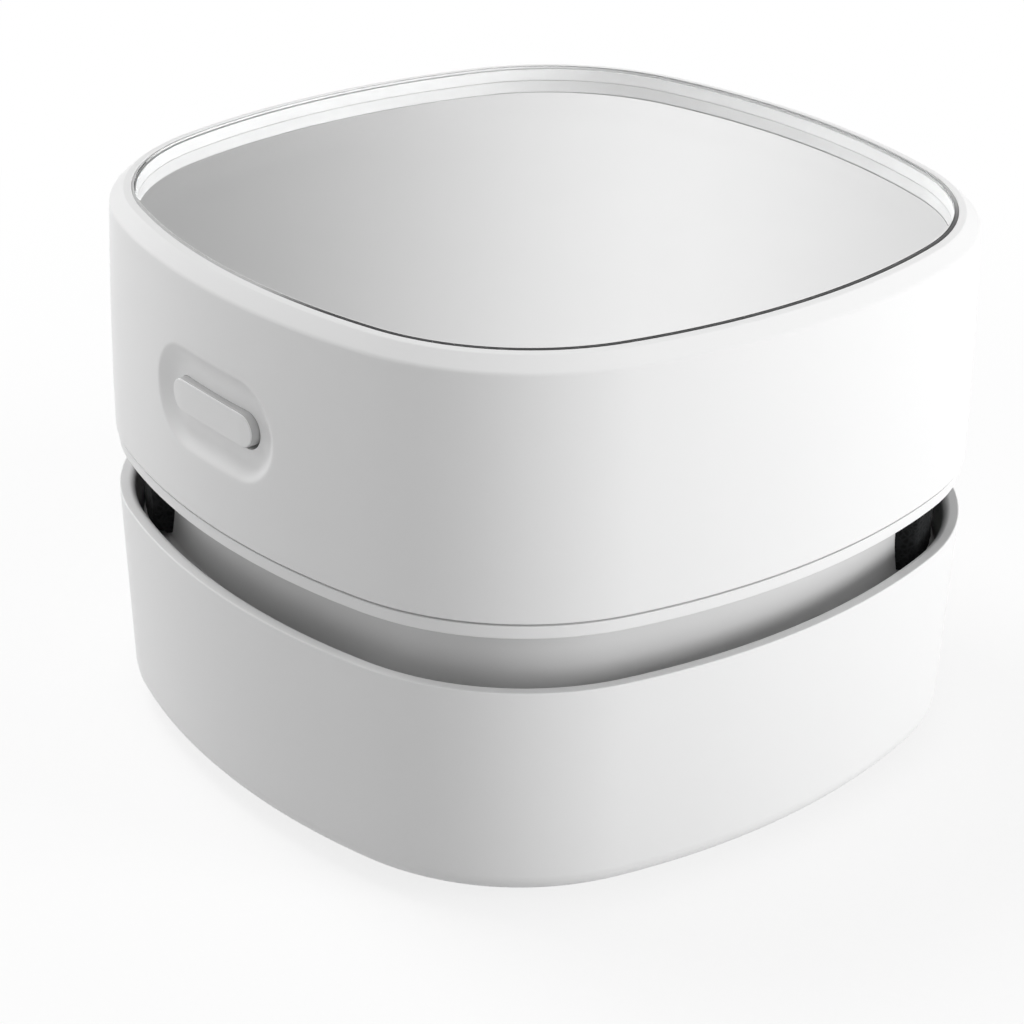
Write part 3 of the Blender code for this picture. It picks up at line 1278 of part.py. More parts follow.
def build():
    remove_start_objects()
    looks = make_looks()
    base = pivot("bin_frame", (0, 0, 0))
    head = pivot("head_lift", (0, 0, FLANGE_BASE_Z), base)
    button = pivot("button_slide", (0, -BUTTON_WALL_HALF, BUTTON_Z), head)
    plunger = pivot("plunger_slide", (0, -PLUNGER_Y, BUTTON_Z), head)
    rotor = pivot("fan_spin", (0, 0, FAN_TOP_Z), head)
    build_bin(looks["bin"], base)
    build_brush_holder(looks, base)
    build_brushes(looks["bristle"], base)
    build_feet(looks["glide"], base)
    build_upper_shell(looks["shell"], head)
    build_window(looks["clear"], head)
    build_deck(looks["deck"], head)
    build_base_ring(looks["shell"], head)
    build_vent_core(looks["grey"], head)
    build_foams(looks["foam"], head)
    build_seal(looks["rubber"], head)
    build_fan_housing(looks["grey"], head)
    build_filter_frame(looks["grey"], head)
    build_filter_pad(looks["felt"], head)
    build_chassis(looks["shell"], head)
    build_bolts(looks["steel"], head)
    build_motor(looks, head)
    build_clamp(looks, head)
    build_switch(looks["black"], head)
    build_control_board(looks["board"], head)
    build_charge_board(looks, head)
    build_socket(looks, head)
    build_cell(looks["cell"], head)
    build_cradle(looks["grey"], head)
    build_contacts(looks["brass"], head)
    build_leads(looks, head)
    build_button(looks["shell"], button)
    build_plunger(looks["black"], plunger)
    build_shaft(looks["steel"], rotor)
    build_impeller(looks["black"], rotor)
    weight_normals()


build()
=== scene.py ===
"""A desktop mini vacuum cleaner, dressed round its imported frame.

Metres, +Z up, origin on the desk. The button faces -Y and the charging socket +Y. The sections follow
the object as it is put together: the bin and what is under it, then the head from its flange upwards,
the drive and the battery inside it, and last the studio.
"""

import bmesh
import bpy
import numpy as np
from mathutils import Matrix, Vector


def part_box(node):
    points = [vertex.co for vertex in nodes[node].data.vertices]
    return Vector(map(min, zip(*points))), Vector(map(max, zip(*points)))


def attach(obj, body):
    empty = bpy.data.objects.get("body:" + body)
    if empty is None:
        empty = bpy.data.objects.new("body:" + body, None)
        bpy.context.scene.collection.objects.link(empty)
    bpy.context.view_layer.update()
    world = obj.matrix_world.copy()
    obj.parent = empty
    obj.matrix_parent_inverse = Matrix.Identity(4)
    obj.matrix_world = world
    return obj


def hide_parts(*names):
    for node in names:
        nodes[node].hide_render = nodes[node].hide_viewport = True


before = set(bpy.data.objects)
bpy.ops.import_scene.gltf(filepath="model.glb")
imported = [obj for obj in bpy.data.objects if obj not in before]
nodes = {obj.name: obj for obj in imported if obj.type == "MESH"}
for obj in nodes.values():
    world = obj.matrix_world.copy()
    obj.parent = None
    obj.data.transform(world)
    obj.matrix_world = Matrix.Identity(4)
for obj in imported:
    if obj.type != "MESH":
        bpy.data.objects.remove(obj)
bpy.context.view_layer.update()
MM = 0.001

# Dust bin: one white ABS moulding, a tapered soft square cup with a rolled foot, an inlet chimney in a
# raised boss, and eight upright ribs that the head stands on. Moulded in a polished tool, so its skin
# is smooth and satin, and every edge has the small radius that a mould leaves.
body_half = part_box("upper_shell")[1].x
SIDE_RADIUS = 82.2 * MM
CORNER_RADIUS = 27.0 * MM
corner_spread = SIDE_RADIUS - CORNER_RADIUS
side_turn = np.pi / 4 + np.arcsin((body_half - SIDE_RADIUS) / corner_spread / np.sqrt(2))
corner_centre = corner_spread * np.sin(side_turn) * np.sqrt(2)
SUPPORT = 0.12 * MM
FILLET_TURN = np.radians(15)


def linear(hex_colour):
    """The linear RGBA of an sRGB hex colour."""
    channels = np.array([int(hex_colour[k:k + 2], 16) / 255 for k in (0, 2, 4)])
    low = channels / 12.92
    high = ((channels + 0.055) / 1.055) ** 2.4
    return (*np.where(channels <= 0.04045, low, high), 1.0)


def add_node(tree, kind, settings=None, links=None):
    """Adds a shader node, sets its sockets or attributes, and links other nodes' sockets to its own."""
    made = tree.nodes.new(kind)
    for name, value in (settings or {}).items():
        if isinstance(name, int) or name in made.inputs:
            made.inputs[name].default_value = value
        else:
            setattr(made, name, value)
    for name, socket in (links or {}).items():
        tree.links.new(socket, made.inputs[name])
    return made


def new_finish(name):
    """An empty material: its node tree, its Principled shader, and its Object coordinates."""
    finish = bpy.data.materials.new(name)
    finish.use_nodes = True
    tree = finish.node_tree
    place = add_node(tree, "ShaderNodeTexCoord").outputs["Object"]
    return finish, tree, tree.nodes["Principled BSDF"], place


def mix(tree, share, first, second):
    """A colour that goes from first to second as share goes from 0 to 1. Each is a hex colour or a socket."""
    made = add_node(tree, "ShaderNodeMix", {"data_type": "RGBA"}, {0: share})
    for number, end in ((6, first), (7, second)):
        if isinstance(end, str):
            made.inputs[number].default_value = linear(end)
        else:
            tree.links.new(end, made.inputs[number])
    return made.outputs[2]


def maths(tree, operation, first, second):
    """The result of one operation on two sockets."""
    return add_node(tree, "ShaderNodeMath", {"operation": operation}, {0: first, 1: second}).outputs[0]


def ranged(tree, value, start, end, low, high, **settings):
    """A value carried from start and end to low and high."""
    return add_node(tree, "ShaderNodeMapRange", {**settings, 1: start, 2: end, 3: low, 4: high},
                    {0: value}).outputs[0]


def noise(tree, place, size, detail, **settings):
    """A noise pattern whose blotches are about size across."""
    return add_node(tree, "ShaderNodeTexNoise", {"Scale": 1 / size, "Detail": detail, **settings},
                    {"Vector": place}).outputs["Fac"]


def coat(tree, shader, colours, drift, roughness=None, depth=None, wear=None, relief=None):
    """Dresses a shader: drift carries the base colour from the first to the second, wear the roughness
    between its limits, and relief stands out by depth. Wear and relief are drift unless they are given."""
    tree.links.new(mix(tree, drift, *colours), shader.inputs["Base Color"])
    if roughness:
        tree.links.new(ranged(tree, wear or drift, 0.0, 1.0, *roughness), shader.inputs["Roughness"])
    if depth:
        bump = add_node(tree, "ShaderNodeBump", {"Distance": depth}, {"Height": relief or drift})
        tree.links.new(bump.outputs[0], shader.inputs["Normal"])


def mottled(name, colours, size, detail, roughness, depth=None, metallic=0.0, **settings):
    """A finish whose colour, gloss and relief follow one noise."""
    finish, tree, shader, place = new_finish(name)
    coat(tree, shader, colours, noise(tree, place, size, detail, **settings), roughness, depth)
    shader.inputs["Metallic"].default_value = metallic
    return finish


def moulded_plastic(name, colour, shade, roughness, gloss_play, grain=0.35 * MM, grain_depth=0.0016 * MM):
    """Injection moulded plastic: a base colour that drifts to its shade over a few centimetres, a gloss
    that plays a little where the melt flowed, and the tool's fine grain as a bump."""
    finish, tree, shader, place = new_finish(name)
    coat(tree, shader, (colour, shade), noise(tree, place, 0.035, 3.0, Roughness=0.45),
         (roughness - gloss_play, roughness + gloss_play), grain_depth,
         wear=noise(tree, place, 0.006, 4.0), relief=noise(tree, place, grain, 2.0))
    shader.inputs["IOR"].default_value = 1.53
    return finish


def quarter(side_steps, corner_steps):
    """Turns of the outline's normal over one side arc and the corner arc after it."""
    side = np.linspace(-side_turn, side_turn, side_steps, endpoint=False)
    corner = np.linspace(side_turn, np.pi / 2 - side_turn, corner_steps, endpoint=False)
    return np.concatenate([side, corner])


def soft_outline(quarters):
    """Arc centre, arc radius and outward normal at each point of the soft square, side after side from +X.

    A turn before side_turn lies on a long arc whose centre is behind the side's middle, and the rest on a
    tighter arc whose centre is on the diagonal, so the two arcs meet with one tangent.
    """
    face = np.concatenate([np.full(len(turns), k * np.pi / 2) for k, turns in enumerate(quarters)])
    turn = np.concatenate(quarters)
    on_side = turn < side_turn - 1e-9
    normal = np.stack([np.cos(face + turn), np.sin(face + turn)], axis=1)
    lean = np.where(on_side, face, face + np.pi / 4)
    reach = np.where(on_side, body_half - SIDE_RADIUS, corner_centre)
    centre = reach[:, None] * np.stack([np.cos(lean), np.sin(lean)], axis=1)
    return centre, np.where(on_side, SIDE_RADIUS, CORNER_RADIUS), normal


FINE = soft_outline([quarter(26, 24)] * 4)


def soft_rings(section, outline=FINE):
    """Rings of a soft square piece: each (half width, z) of the section moves every arc inwards by the
    same distance and lifts the ring to z."""
    centre, radius, normal = outline
    inset = body_half - section[:, 0]
    flat = centre + (radius - inset[:, None])[..., None] * normal
    height = np.broadcast_to(section[:, 1, None, None], flat.shape[:2] + (1,))
    return np.concatenate([flat, height], axis=2)


def round_rings(section, outline=FINE):
    """Rings of a turned piece: each (radius, z) of the section on the outline's own polar angles, so that
    they can follow soft rings in one grid."""
    centre, radius, normal = outline
    ray = centre + radius[:, None] * normal
    ray /= np.linalg.norm(ray, axis=1)[:, None]
    flat = section[:, 0, None, None] * ray
    height = np.broadcast_to(section[:, 1, None, None], flat.shape[:2] + (1,))
    return np.concatenate([flat, height], axis=2)


def rounded(corners):
    """A section from (u, v, radius) corners. Each corner becomes an arc between the tangent points of its
    two edges, with one more point just outside either end, so that the flats beside it shade flat."""
    points = []
    for before, (u, v, radius), after in zip([None] + corners[:-1], corners, corners[1:] + [None]):
        if not radius or before is None or after is None:
            points.append([[u, v]])
            continue
        here = np.array([u, v])
        back, ahead = np.array(before[:2]) - here, np.array(after[:2]) - here
        back_length, ahead_length = np.linalg.norm(back), np.linalg.norm(ahead)
        back, ahead = back / back_length, ahead / ahead_length
        half_angle = np.arccos(np.clip(back @ ahead, -1, 1)) / 2
        reach = min(radius / np.tan(half_angle), back_length * 0.48, ahead_length * 0.48)
        radius = reach * np.tan(half_angle)
        middle = (back + ahead) / np.linalg.norm(back + ahead)
        centre = here + middle * radius / np.sin(half_angle)
        steps = max(2, int(np.ceil((np.pi - 2 * half_angle) / FILLET_TURN)))
        share = np.linspace(0, 1, steps + 1)[:, None]
        start, end = here + back * reach - centre, here + ahead * reach - centre
        swing = np.pi - 2 * half_angle
        arc = centre + (np.sin((1 - share) * swing) * start + np.sin(share * swing) * end) / np.sin(swing)
        outside = [here + back * (reach + min(SUPPORT, back_length * 0.02)),
                   here + ahead * (reach + min(SUPPORT, ahead_length * 0.02))]
        points.append(np.vstack([outside[:1], arc, outside[1:]]))
    return np.vstack(points)


def closed(corners):
    """The section of a closed loop, which starts on a flat."""
    return rounded(corners + corners[:1])[:-1]


def grid_piece(name, rings, loop=False):
    """A closed mesh from a grid of points whose rows are closed rings. loop joins the last ring to the
    first, and otherwise one flat face closes each end."""
    rows, columns = rings.shape[:2]
    index = np.arange(rows * columns).reshape(rows, columns)
    ends = [] if loop else [index[0].tolist(), index[-1].tolist()]
    if loop:
        index = np.vstack([index, index[:1]])
    return mesh_piece(name, rings.reshape(-1, 3), quads(index).tolist() + ends)


def quads(index):
    """The four corners of each face between neighbouring rings, whose points are the last axis of index."""
    low, high = index[..., :-1, :], index[..., 1:, :]
    corners = (low, np.roll(low, -1, axis=-1), np.roll(high, -1, axis=-1), high)
    return np.stack(corners, axis=-1).reshape(-1, 4)


def mesh_piece(name, points, faces, merge=1e-7):
    """An object from points and faces, with doubles merged, its faces turned outwards and shaded smooth."""
    mesh = bpy.data.meshes.new(name)
    mesh.from_pydata(np.asarray(points).tolist(), [], faces)
    bm = bmesh.new()
    bm.from_mesh(mesh)
    bmesh.ops.remove_doubles(bm, verts=bm.verts, dist=merge)
    bmesh.ops.recalc_face_normals(bm, faces=bm.faces)
    bm.to_mesh(mesh)
    bm.free()
    mesh.shade_smooth()
    made = bpy.data.objects.new(name, mesh)
    bpy.context.scene.collection.objects.link(made)
    return made


def settle(piece, operations):
    """Applies Booleans, one per (operation, tool), deletes the tools, and marks the new hard edges."""
    for operation, tool in operations:
        step = piece.modifiers.new(tool.name, "BOOLEAN")
        step.operation, step.solver, step.object = operation, "EXACT", tool
    shape = bpy.data.meshes.new_from_object(piece.evaluated_get(bpy.context.evaluated_depsgraph_get()))
    piece.modifiers.clear()
    piece.data = shape
    shape.shade_smooth()
    shape.set_sharp_from_angle(angle=np.radians(32))
    for _, tool in operations:
        bpy.data.objects.remove(tool, do_unlink=True)
    return piece


def fit(piece, finish, body, slot, *stands_for):
    """Gives a piece its material and the body it rides on, and hides the nodes it stands for. The slot is not
    used.
    """
    piece.data.materials.clear()
    piece.data.materials.append(finish)
    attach(piece, body)
    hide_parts(*stands_for)


def circle(radius, centre=(0, 0), steps=48):
    turn = np.linspace(0, 2 * np.pi, steps, endpoint=False)
    return np.stack([centre[0] + radius * np.cos(turn), centre[1] + radius * np.sin(turn)], axis=1)


def upright(name, outline, low, high):
    """A prism of one (x, y) outline from low to high."""
    rings = np.stack([np.column_stack([outline, np.full(len(outline), z)]) for z in (low, high)])
    return grid_piece(name, rings)


bin_base, bin_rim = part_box("dust_bin")[0].z, 26.5 * MM
BIN_FLOOR = 3.8 * MM
BIN_BASE_HALF = body_half - 0.75 * MM
BIN_WALL = 1.75 * MM
BIN_BASE_INNER = BIN_BASE_HALF - BIN_WALL
INLET_RADIUS = 11.0 * MM
CHIMNEY_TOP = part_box("filter_frame")[0].z - 3.85 * MM
BOSS_TOP, BOSS_EDGE = 6.0 * MM, 24.5 * MM
POCKET_RADIUS, POCKET_TOP = 22.9 * MM, 4.4 * MM
RIB_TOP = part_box("vent_core")[0].z - 0.3 * MM
RIB_PLACE = body_half * 0.414
PILOT_RADIUS = 1.1 * MM
SCREW_REACH = 19.75 * MM
FOOT_PLACE, FOOT_POCKET = 25.505 * MM, 3.5 * MM

inside = rounded([
    (INLET_RADIUS, POCKET_TOP, 0),
    (INLET_RADIUS, CHIMNEY_TOP, 0.4 * MM),
    (INLET_RADIUS + 1.4 * MM, CHIMNEY_TOP, 0.4 * MM),
    (INLET_RADIUS + 1.4 * MM, BOSS_TOP, 0.6 * MM),
    (BOSS_EDGE, BOSS_TOP, 0.5 * MM),
    (BOSS_EDGE, BIN_FLOOR, 0.5 * MM),
    (BOSS_EDGE + 2 * MM, BIN_FLOOR, 0),
])
wall = rounded([
    (BIN_BASE_INNER - 5 * MM, BIN_FLOOR, 0),
    (BIN_BASE_INNER, BIN_FLOOR, 1.2 * MM),
    (body_half - BIN_WALL, bin_rim - 0.14 * MM, 0.85 * MM),
    (body_half, bin_rim, 0.15 * MM),
    (BIN_BASE_HALF, bin_base, 2.5 * MM),
    (BIN_BASE_HALF - 6 * MM, bin_base, 0),
])
under = rounded([
    (POCKET_RADIUS + 1.5 * MM, bin_base, 0),
    (POCKET_RADIUS, bin_base, 0.2 * MM),
    (POCKET_RADIUS, POCKET_TOP, 0.3 * MM),
    (INLET_RADIUS, POCKET_TOP, 0),
])[:-1]
bin_rings = np.concatenate([round_rings(inside), soft_rings(wall), round_rings(under)])
bin_shell = grid_piece("bin_shell", bin_rings, loop=True)


def soft_box(name, low, high, round_off, turn=0.0):
    """A box with rounded edges: the corners of a cube, then a bevel, turned about the vertical axis."""
    sign = np.array([(x, y, z) for z in (0, 1) for x, y in ((0, 0), (1, 0), (1, 1), (0, 1))])
    points = np.array(low) + sign * (np.array(high) - np.array(low))
    spin = np.array(Matrix.Rotation(turn, 3, "Z"))
    made = grid_piece(name, (points @ spin.T).reshape(2, 4, 3))
    if round_off:
        edge = made.modifiers.new("edge", "BEVEL")
        edge.width, edge.segments, edge.limit_method = round_off, 2, "NONE"
    return made


rib_wall = np.sqrt((SIDE_RADIUS - body_half + BIN_BASE_INNER) ** 2 - RIB_PLACE ** 2) + body_half - SIDE_RADIUS
ribs = [
    soft_box(
        f"rib_{k}_{sign}",
        (sign * RIB_PLACE - 0.7 * MM, rib_wall - 1.8 * MM, BIN_FLOOR - 0.6 * MM),
        (sign * RIB_PLACE + 0.7 * MM, rib_wall + 0.9 * MM, RIB_TOP), 0.25 * MM, k * np.pi / 2)
    for k in range(4) for sign in (-1, 1)
]
foot_places = [(x * FOOT_PLACE, y * FOOT_PLACE) for x, y in ((1, 1), (-1, 1), (-1, -1), (1, -1))]
foot_pockets = [
    upright(f"foot_pocket_{k}", circle(FOOT_POCKET, place), bin_base - MM, bin_base + 0.5 * MM)
    for k, place in enumerate(foot_places)
]
pilots = [
    upright(f"pilot_{sign}", circle(PILOT_RADIUS, (sign * SCREW_REACH, 0), 24), bin_base, BOSS_TOP - 0.4 * MM)
    for sign in (-1, 1)
]
settle(bin_shell, [("UNION", rib) for rib in ribs] + [("DIFFERENCE", tool) for tool in foot_pockets + pilots])
bin_white = moulded_plastic("white_abs_bin", "f3f3f3", "efefef", 0.36, 0.02)
fit(bin_shell, bin_white, "bin", "bin_white", "dust_bin")

# Brush holder: a turned-looking grey ABS ring, pressed up into the pocket under the bin, with a groove
# for the bristle strips and two sunk pockets for its screws.
holder_low, holder_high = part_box("brush_holder")
HOLDER_BORE = INLET_RADIUS + 0.4 * MM
GROOVE_INNER, GROOVE_OUTER = HOLDER_BORE + 1.9 * MM, HOLDER_BORE + 5.5 * MM
groove_top = holder_low.z + 1.2 * MM
SCREW_SEAT, HEAD_POCKET = holder_low.z + 0.9 * MM, 2.1 * MM
holder_section = closed([
    (HOLDER_BORE, holder_high.z - 0.5 * MM, 0),
    (HOLDER_BORE, holder_low.z, 0.35 * MM),
    (GROOVE_INNER, holder_low.z, 0.2 * MM),
    (GROOVE_INNER, groove_top, 0.15 * MM),
    (GROOVE_OUTER, groove_top, 0.15 * MM),
    (GROOVE_OUTER, holder_low.z, 0.2 * MM),
    (holder_high.x, holder_low.z, 0.35 * MM),
    (holder_high.x, holder_high.z, 0.2 * MM),
    (HOLDER_BORE, holder_high.z, 0.2 * MM),
])


def turned_piece(name, section, steps=96, place=(0, 0), loop=False):
    """A solid of revolution: the (radius, z) section carried round the vertical axis through place."""
    turn = np.linspace(0, 2 * np.pi, steps, endpoint=False)
    x = place[0] + section[:, :1] * np.cos(turn)
    y = place[1] + section[:, :1] * np.sin(turn)
    z = np.broadcast_to(section[:, 1:], x.shape)
    return grid_piece(name, np.stack([x, y, z], axis=2), loop)


brush_ring = turned_piece("brush_ring", holder_section, 120, loop=True)
sunk = []
for sign in (-1, 1):
    place = (sign * SCREW_REACH, 0)
    sunk.append(upright(f"head_pocket_{sign}", circle(HEAD_POCKET, place), holder_low.z - MM,
                        SCREW_SEAT + 0.3 * MM))
    sunk.append(upright(f"screw_hole_{sign}", circle(PILOT_RADIUS, place), SCREW_SEAT, holder_high.z + MM))
settle(brush_ring, [("DIFFERENCE", tool) for tool in sunk])
grey_abs = moulded_plastic("grey_abs", "dcdcdc", "d5d5d5", 0.42, 0.03, grain_depth=0.003 * MM)
fit(brush_ring, grey_abs, "bin", "plastic_grey", "brush_holder")

# Bristle strips: translucent white nylon 6 strands, set in four curved backings round the inlet. Each
# strand is drawn, cut square, and leans its own way by a few hundredths of a millimetre.
STRAND_ROWS, STRANDS_PER_ROW = 4, 44
STRAND_RADIUS = 0.13 * MM
STRAND_TIP = 0.3 * MM
BACKING_LOW, BACKING_HIGH = 2.3 * MM, 3.1 * MM
BACKING_INNER, BACKING_OUTER = 13.6 * MM, 16.6 * MM
STRIP_NAMES = ("back_right", "back_left", "front_left", "front_right")

nylon = mottled("drawn_nylon_strands", ("f4f4f2", "dcdcd8"), 0.5 * MM, 2.0, (0.35, 0.5))
shader = nylon.node_tree.nodes["Principled BSDF"]
shader.inputs["Subsurface Weight"].default_value = 0.15
shader.inputs["Subsurface Scale"].default_value = 0.3 * MM


def strands(start, end, draw):
    """Points and faces of a strip's strands: a five-sided tube per strand, whose four rings thin out and
    drift sideways with the square of the distance from its root."""
    row, column = np.meshgrid(np.arange(STRAND_ROWS), np.arange(STRANDS_PER_ROW), indexing="ij")
    radius = np.linspace(BACKING_INNER + 0.35 * MM, BACKING_OUTER - 0.35 * MM, STRAND_ROWS)[row].ravel()
    share = (column + 0.3 + 0.4 * (row % 2)).ravel() / STRANDS_PER_ROW
    turn = start + (end - start) * share + draw.normal(0, 0.004, share.size)
    root = np.stack([radius * np.cos(turn), radius * np.sin(turn)], axis=1)
    drift = draw.normal(0, 0.12 * MM, root.shape)
    fall = np.linspace(0, 1, 4)
    middle = root[:, None, :] + drift[:, None, :] * (fall ** 2)[None, :, None]
    around = np.linspace(0, 2 * np.pi, 5, endpoint=False)
    thick = STRAND_RADIUS * (1 - 0.3 * fall)
    ring = thick[:, None, None] * np.stack([np.cos(around), np.sin(around)], axis=1)[None]
    flat = middle[:, :, None, :] + ring[None]
    level = BACKING_LOW + 0.3 * MM + (STRAND_TIP - BACKING_LOW - 0.3 * MM) * fall
    height = np.broadcast_to(level[None, :, None, None], flat.shape[:3] + (1,))
    points = np.concatenate([flat, height], axis=3)
    index = np.arange(points.shape[0] * 20).reshape(-1, 4, 5)
    return points.reshape(-1, 3), quads(index).tolist() + index[:, 0].tolist() + index[:, -1].tolist()


def curved_bar(name, section, start, end, steps=20):
    """A bar whose closed (radius, z) section is carried round the vertical axis from start to end."""
    turn = np.linspace(start, end, steps + 1)[:, None]
    x, y = section[:, 0] * np.cos(turn), section[:, 0] * np.sin(turn)
    return grid_piece(name, np.stack([x, y, np.broadcast_to(section[:, 1], x.shape)], axis=2))


backing_section = closed([
    (BACKING_INNER, BACKING_LOW + 0.4 * MM, 0),
    (BACKING_INNER, BACKING_LOW, 0.12 * MM),
    (BACKING_OUTER, BACKING_LOW, 0.12 * MM),
    (BACKING_OUTER, BACKING_HIGH, 0.12 * MM),
    (BACKING_INNER, BACKING_HIGH, 0.12 * MM),
])
half_gap = 0.8 * MM / 15.1 / MM
for k, name in enumerate(STRIP_NAMES):
    start, end = k * np.pi / 2 + half_gap, (k + 1) * np.pi / 2 - half_gap
    strip = curved_bar(f"bristles_{name}", backing_section, start, end)
    tufts = mesh_piece(f"strands_{name}", *strands(start, end, np.random.default_rng(40 + k)), merge=0)
    both = bmesh.new()
    both.from_mesh(strip.data)
    both.from_mesh(tufts.data)
    both.to_mesh(strip.data)
    both.free()
    bpy.data.objects.remove(tufts, do_unlink=True)
    strip.data.shade_smooth()
    strip.data.set_sharp_from_angle(angle=np.radians(50))
    fit(strip, nylon, "bin", "bristle_nylon", f"brush_strip_{name}")

# Glide feet: four grey PTFE buttons, pressed into shallow pockets under the corners. Their skin is waxy,
# with fine scuffs where they have slid on a desk.
FOOT_TOP = bin_base + 0.2 * MM
glide = mottled("grey_ptfe", ("d9d9d8", "c6c6c5"), 0.7 * MM, 6.0, (0.3, 0.6), 0.006 * MM, Roughness=0.7)
foot_section = rounded([
    (0.4 * MM, 0, 0),
    (3.2 * MM, 0, 0.7 * MM),
    (3.2 * MM, FOOT_TOP, 0.15 * MM),
    (0.4 * MM, FOOT_TOP, 0),
])
for number, spot in enumerate(foot_places, 1):
    foot = turned_piece(f"glide_button_{number}", foot_section, 48, spot)
    fit(foot, glide, "bin", "glide_grey", f"glide_foot_{number}")

# Screws: zinc plated steel, rolled thread, pan head with a cross recess. The plating is bright, with
# a faint grey mottle.
THREAD_PITCH = 0.7 * MM
plated = mottled("zinc_plated_steel", ("c9cbcd", "aeb1b4"), 0.4 * MM, 5.0, (0.22, 0.38), 0.002 * MM,
                 metallic=1.0)


def screw(node, seat, head_radius, head_height, shank_radius, body):
    """Replaces a screw's node: a pan head whose cross recess is cut out, and a shank whose radius rises
    to a ridge once per pitch and turn, so that the ridge is a helix."""
    low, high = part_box(node)
    place = ((low.x + high.x) / 2, (low.y + high.y) / 2)
    up = 1 if high.z - seat < seat - low.z else -1
    tip, top = (low.z, high.z) if up > 0 else (high.z, low.z)
    turn = np.linspace(0, 2 * np.pi, 24, endpoint=False)
    level = np.linspace(tip, seat, max(8, int(abs(seat - tip) / THREAD_PITCH * 7)))
    wave = (level[:, None] / THREAD_PITCH + turn / (2 * np.pi)) % 1
    ridge = np.clip(1 - np.abs(wave - 0.5) * 3.2, 0, 1)
    fade = np.clip(np.minimum(np.abs(level - tip), np.abs(level - seat)) / (0.8 * THREAD_PITCH), 0, 1)
    point = np.clip(np.abs(level - tip) / (1.1 * shank_radius), 0.45, 1)
    shank = shank_radius * point[:, None] * (0.84 + 0.16 * ridge * fade[:, None])
    head = rounded([
        (shank_radius * 0.84, seat, 0),
        (head_radius, seat, 0.1 * MM),
        (head_radius, top - up * head_height * 0.45, head_height * 0.5),
        (head_radius * 0.55, top, head_height * 0.9),
        (head_radius * 0.1, top, 0),
    ])
    radius = np.vstack([shank, np.broadcast_to(head[:, :1], (len(head), 24))])
    height = np.concatenate([level, head[:, 1]])
    x, y = place[0] + radius * np.cos(turn), place[1] + radius * np.sin(turn)
    made = grid_piece(f"{node}_threaded", np.stack([x, y, np.broadcast_to(height[:, None], x.shape)], axis=2))
    arm, depth = head_radius * 0.5, head_height * 0.55
    cross = []
    for k in (0, 1):
        near = (place[0] - (arm if k else 0.18 * arm), place[1] - (0.18 * arm if k else arm))
        far = (place[0] + (arm if k else 0.18 * arm), place[1] + (0.18 * arm if k else arm))
        ends = sorted((top - up * depth, top + up * MM))
        cross.append(soft_box(f"{node}_slot_{k}", (*near, ends[0]), (*far, ends[1]), 0))
    settle(made, [("DIFFERENCE", slot) for slot in cross])
    fit(made, plated, body, "screw_steel", node)


for side in ("left", "right"):
    screw(f"holder_screw_{side}", SCREW_SEAT, 1.8 * MM, 0.9 * MM, 0.8 * MM, "bin")

# Vent core: the grey ABS cup inside the exhaust gap. Its wall has a slight waist, two corner windows let
# the air out, and its thick flange, with a groove for the seal, plugs the bin's mouth. The foot of the wall
# is painted darker in uneven patches: painted shade, where the gap is deep.
core_low, core_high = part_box("vent_core")
FLANGE_HALF = core_high.x
CORE_HALF = 38.9 * MM
CORE_INNER = 37.3 * MM
FLANGE_TOP = 22.4 * MM
WAIST_TOP = 32.4 * MM
# Heights over which the painted shade at the foot of the wall comes in.
PAINTED_SHADE_TOP, PAINTED_SHADE_LOW = 28.8 * MM, 25.0 * MM
WEB_LOW = core_high.z - 1.5 * MM
STEP = core_low.z + 3.2 * MM
GROOVE_HALF, GROOVE_LOW, GROOVE_TOP = FLANGE_HALF - 1.1 * MM, 19.6 * MM, 21.4 * MM
MOTOR_HOLE = 12.2 * MM
VENT_LOW, VENT_TOP, VENT_NEAR, VENT_FAR = 22.5 * MM, 31.1 * MM, 35 * MM, 50 * MM
VENTS = {"left": (11.25 * MM, 2, -0.3 * MM, 3.7 * MM), "right": (11.2 * MM, 0, 1.7 * MM, 3.6 * MM)}
climb = np.linspace(0, 1, 13)[1:-1]
waist = [(CORE_HALF - 0.5 * MM * np.sin(np.pi * s), FLANGE_TOP + (WAIST_TOP - FLANGE_TOP) * s, 0)
         for s in climb]
core_section = rounded([
    (MOTOR_HOLE + 8 * MM, WEB_LOW, 0),
    (CORE_INNER, WEB_LOW, 0.5 * MM),
    (CORE_INNER, STEP, 0.2 * MM),
    (FLANGE_HALF - 2.4 * MM, STEP, 0.3 * MM),
    (FLANGE_HALF - 2.4 * MM, core_low.z, 0.2 * MM),
    (FLANGE_HALF, core_low.z, 0.4 * MM),
    (FLANGE_HALF, GROOVE_LOW, 0.1 * MM),
    (GROOVE_HALF, GROOVE_LOW, 0.1 * MM),
    (GROOVE_HALF, GROOVE_TOP, 0.1 * MM),
    (FLANGE_HALF, GROOVE_TOP, 0.1 * MM),
    (FLANGE_HALF, FLANGE_TOP, 0.4 * MM),
    (CORE_HALF, FLANGE_TOP, 0.5 * MM),
    *waist,
    (CORE_HALF, WAIST_TOP, 0),
    (CORE_HALF, core_high.z, 0.3 * MM),
    (MOTOR_HOLE + 8 * MM, core_high.z, 0),
])
hole_down = rounded([(MOTOR_HOLE + MM, core_high.z, 0), (MOTOR_HOLE, core_high.z, 0.2 * MM),
                     (MOTOR_HOLE, WEB_LOW, 0.2 * MM), (MOTOR_HOLE + MM, WEB_LOW, 0)])
core_rings = np.concatenate([soft_rings(core_section), round_rings(hole_down)])
core = grid_piece("exhaust_core", core_rings, loop=True)


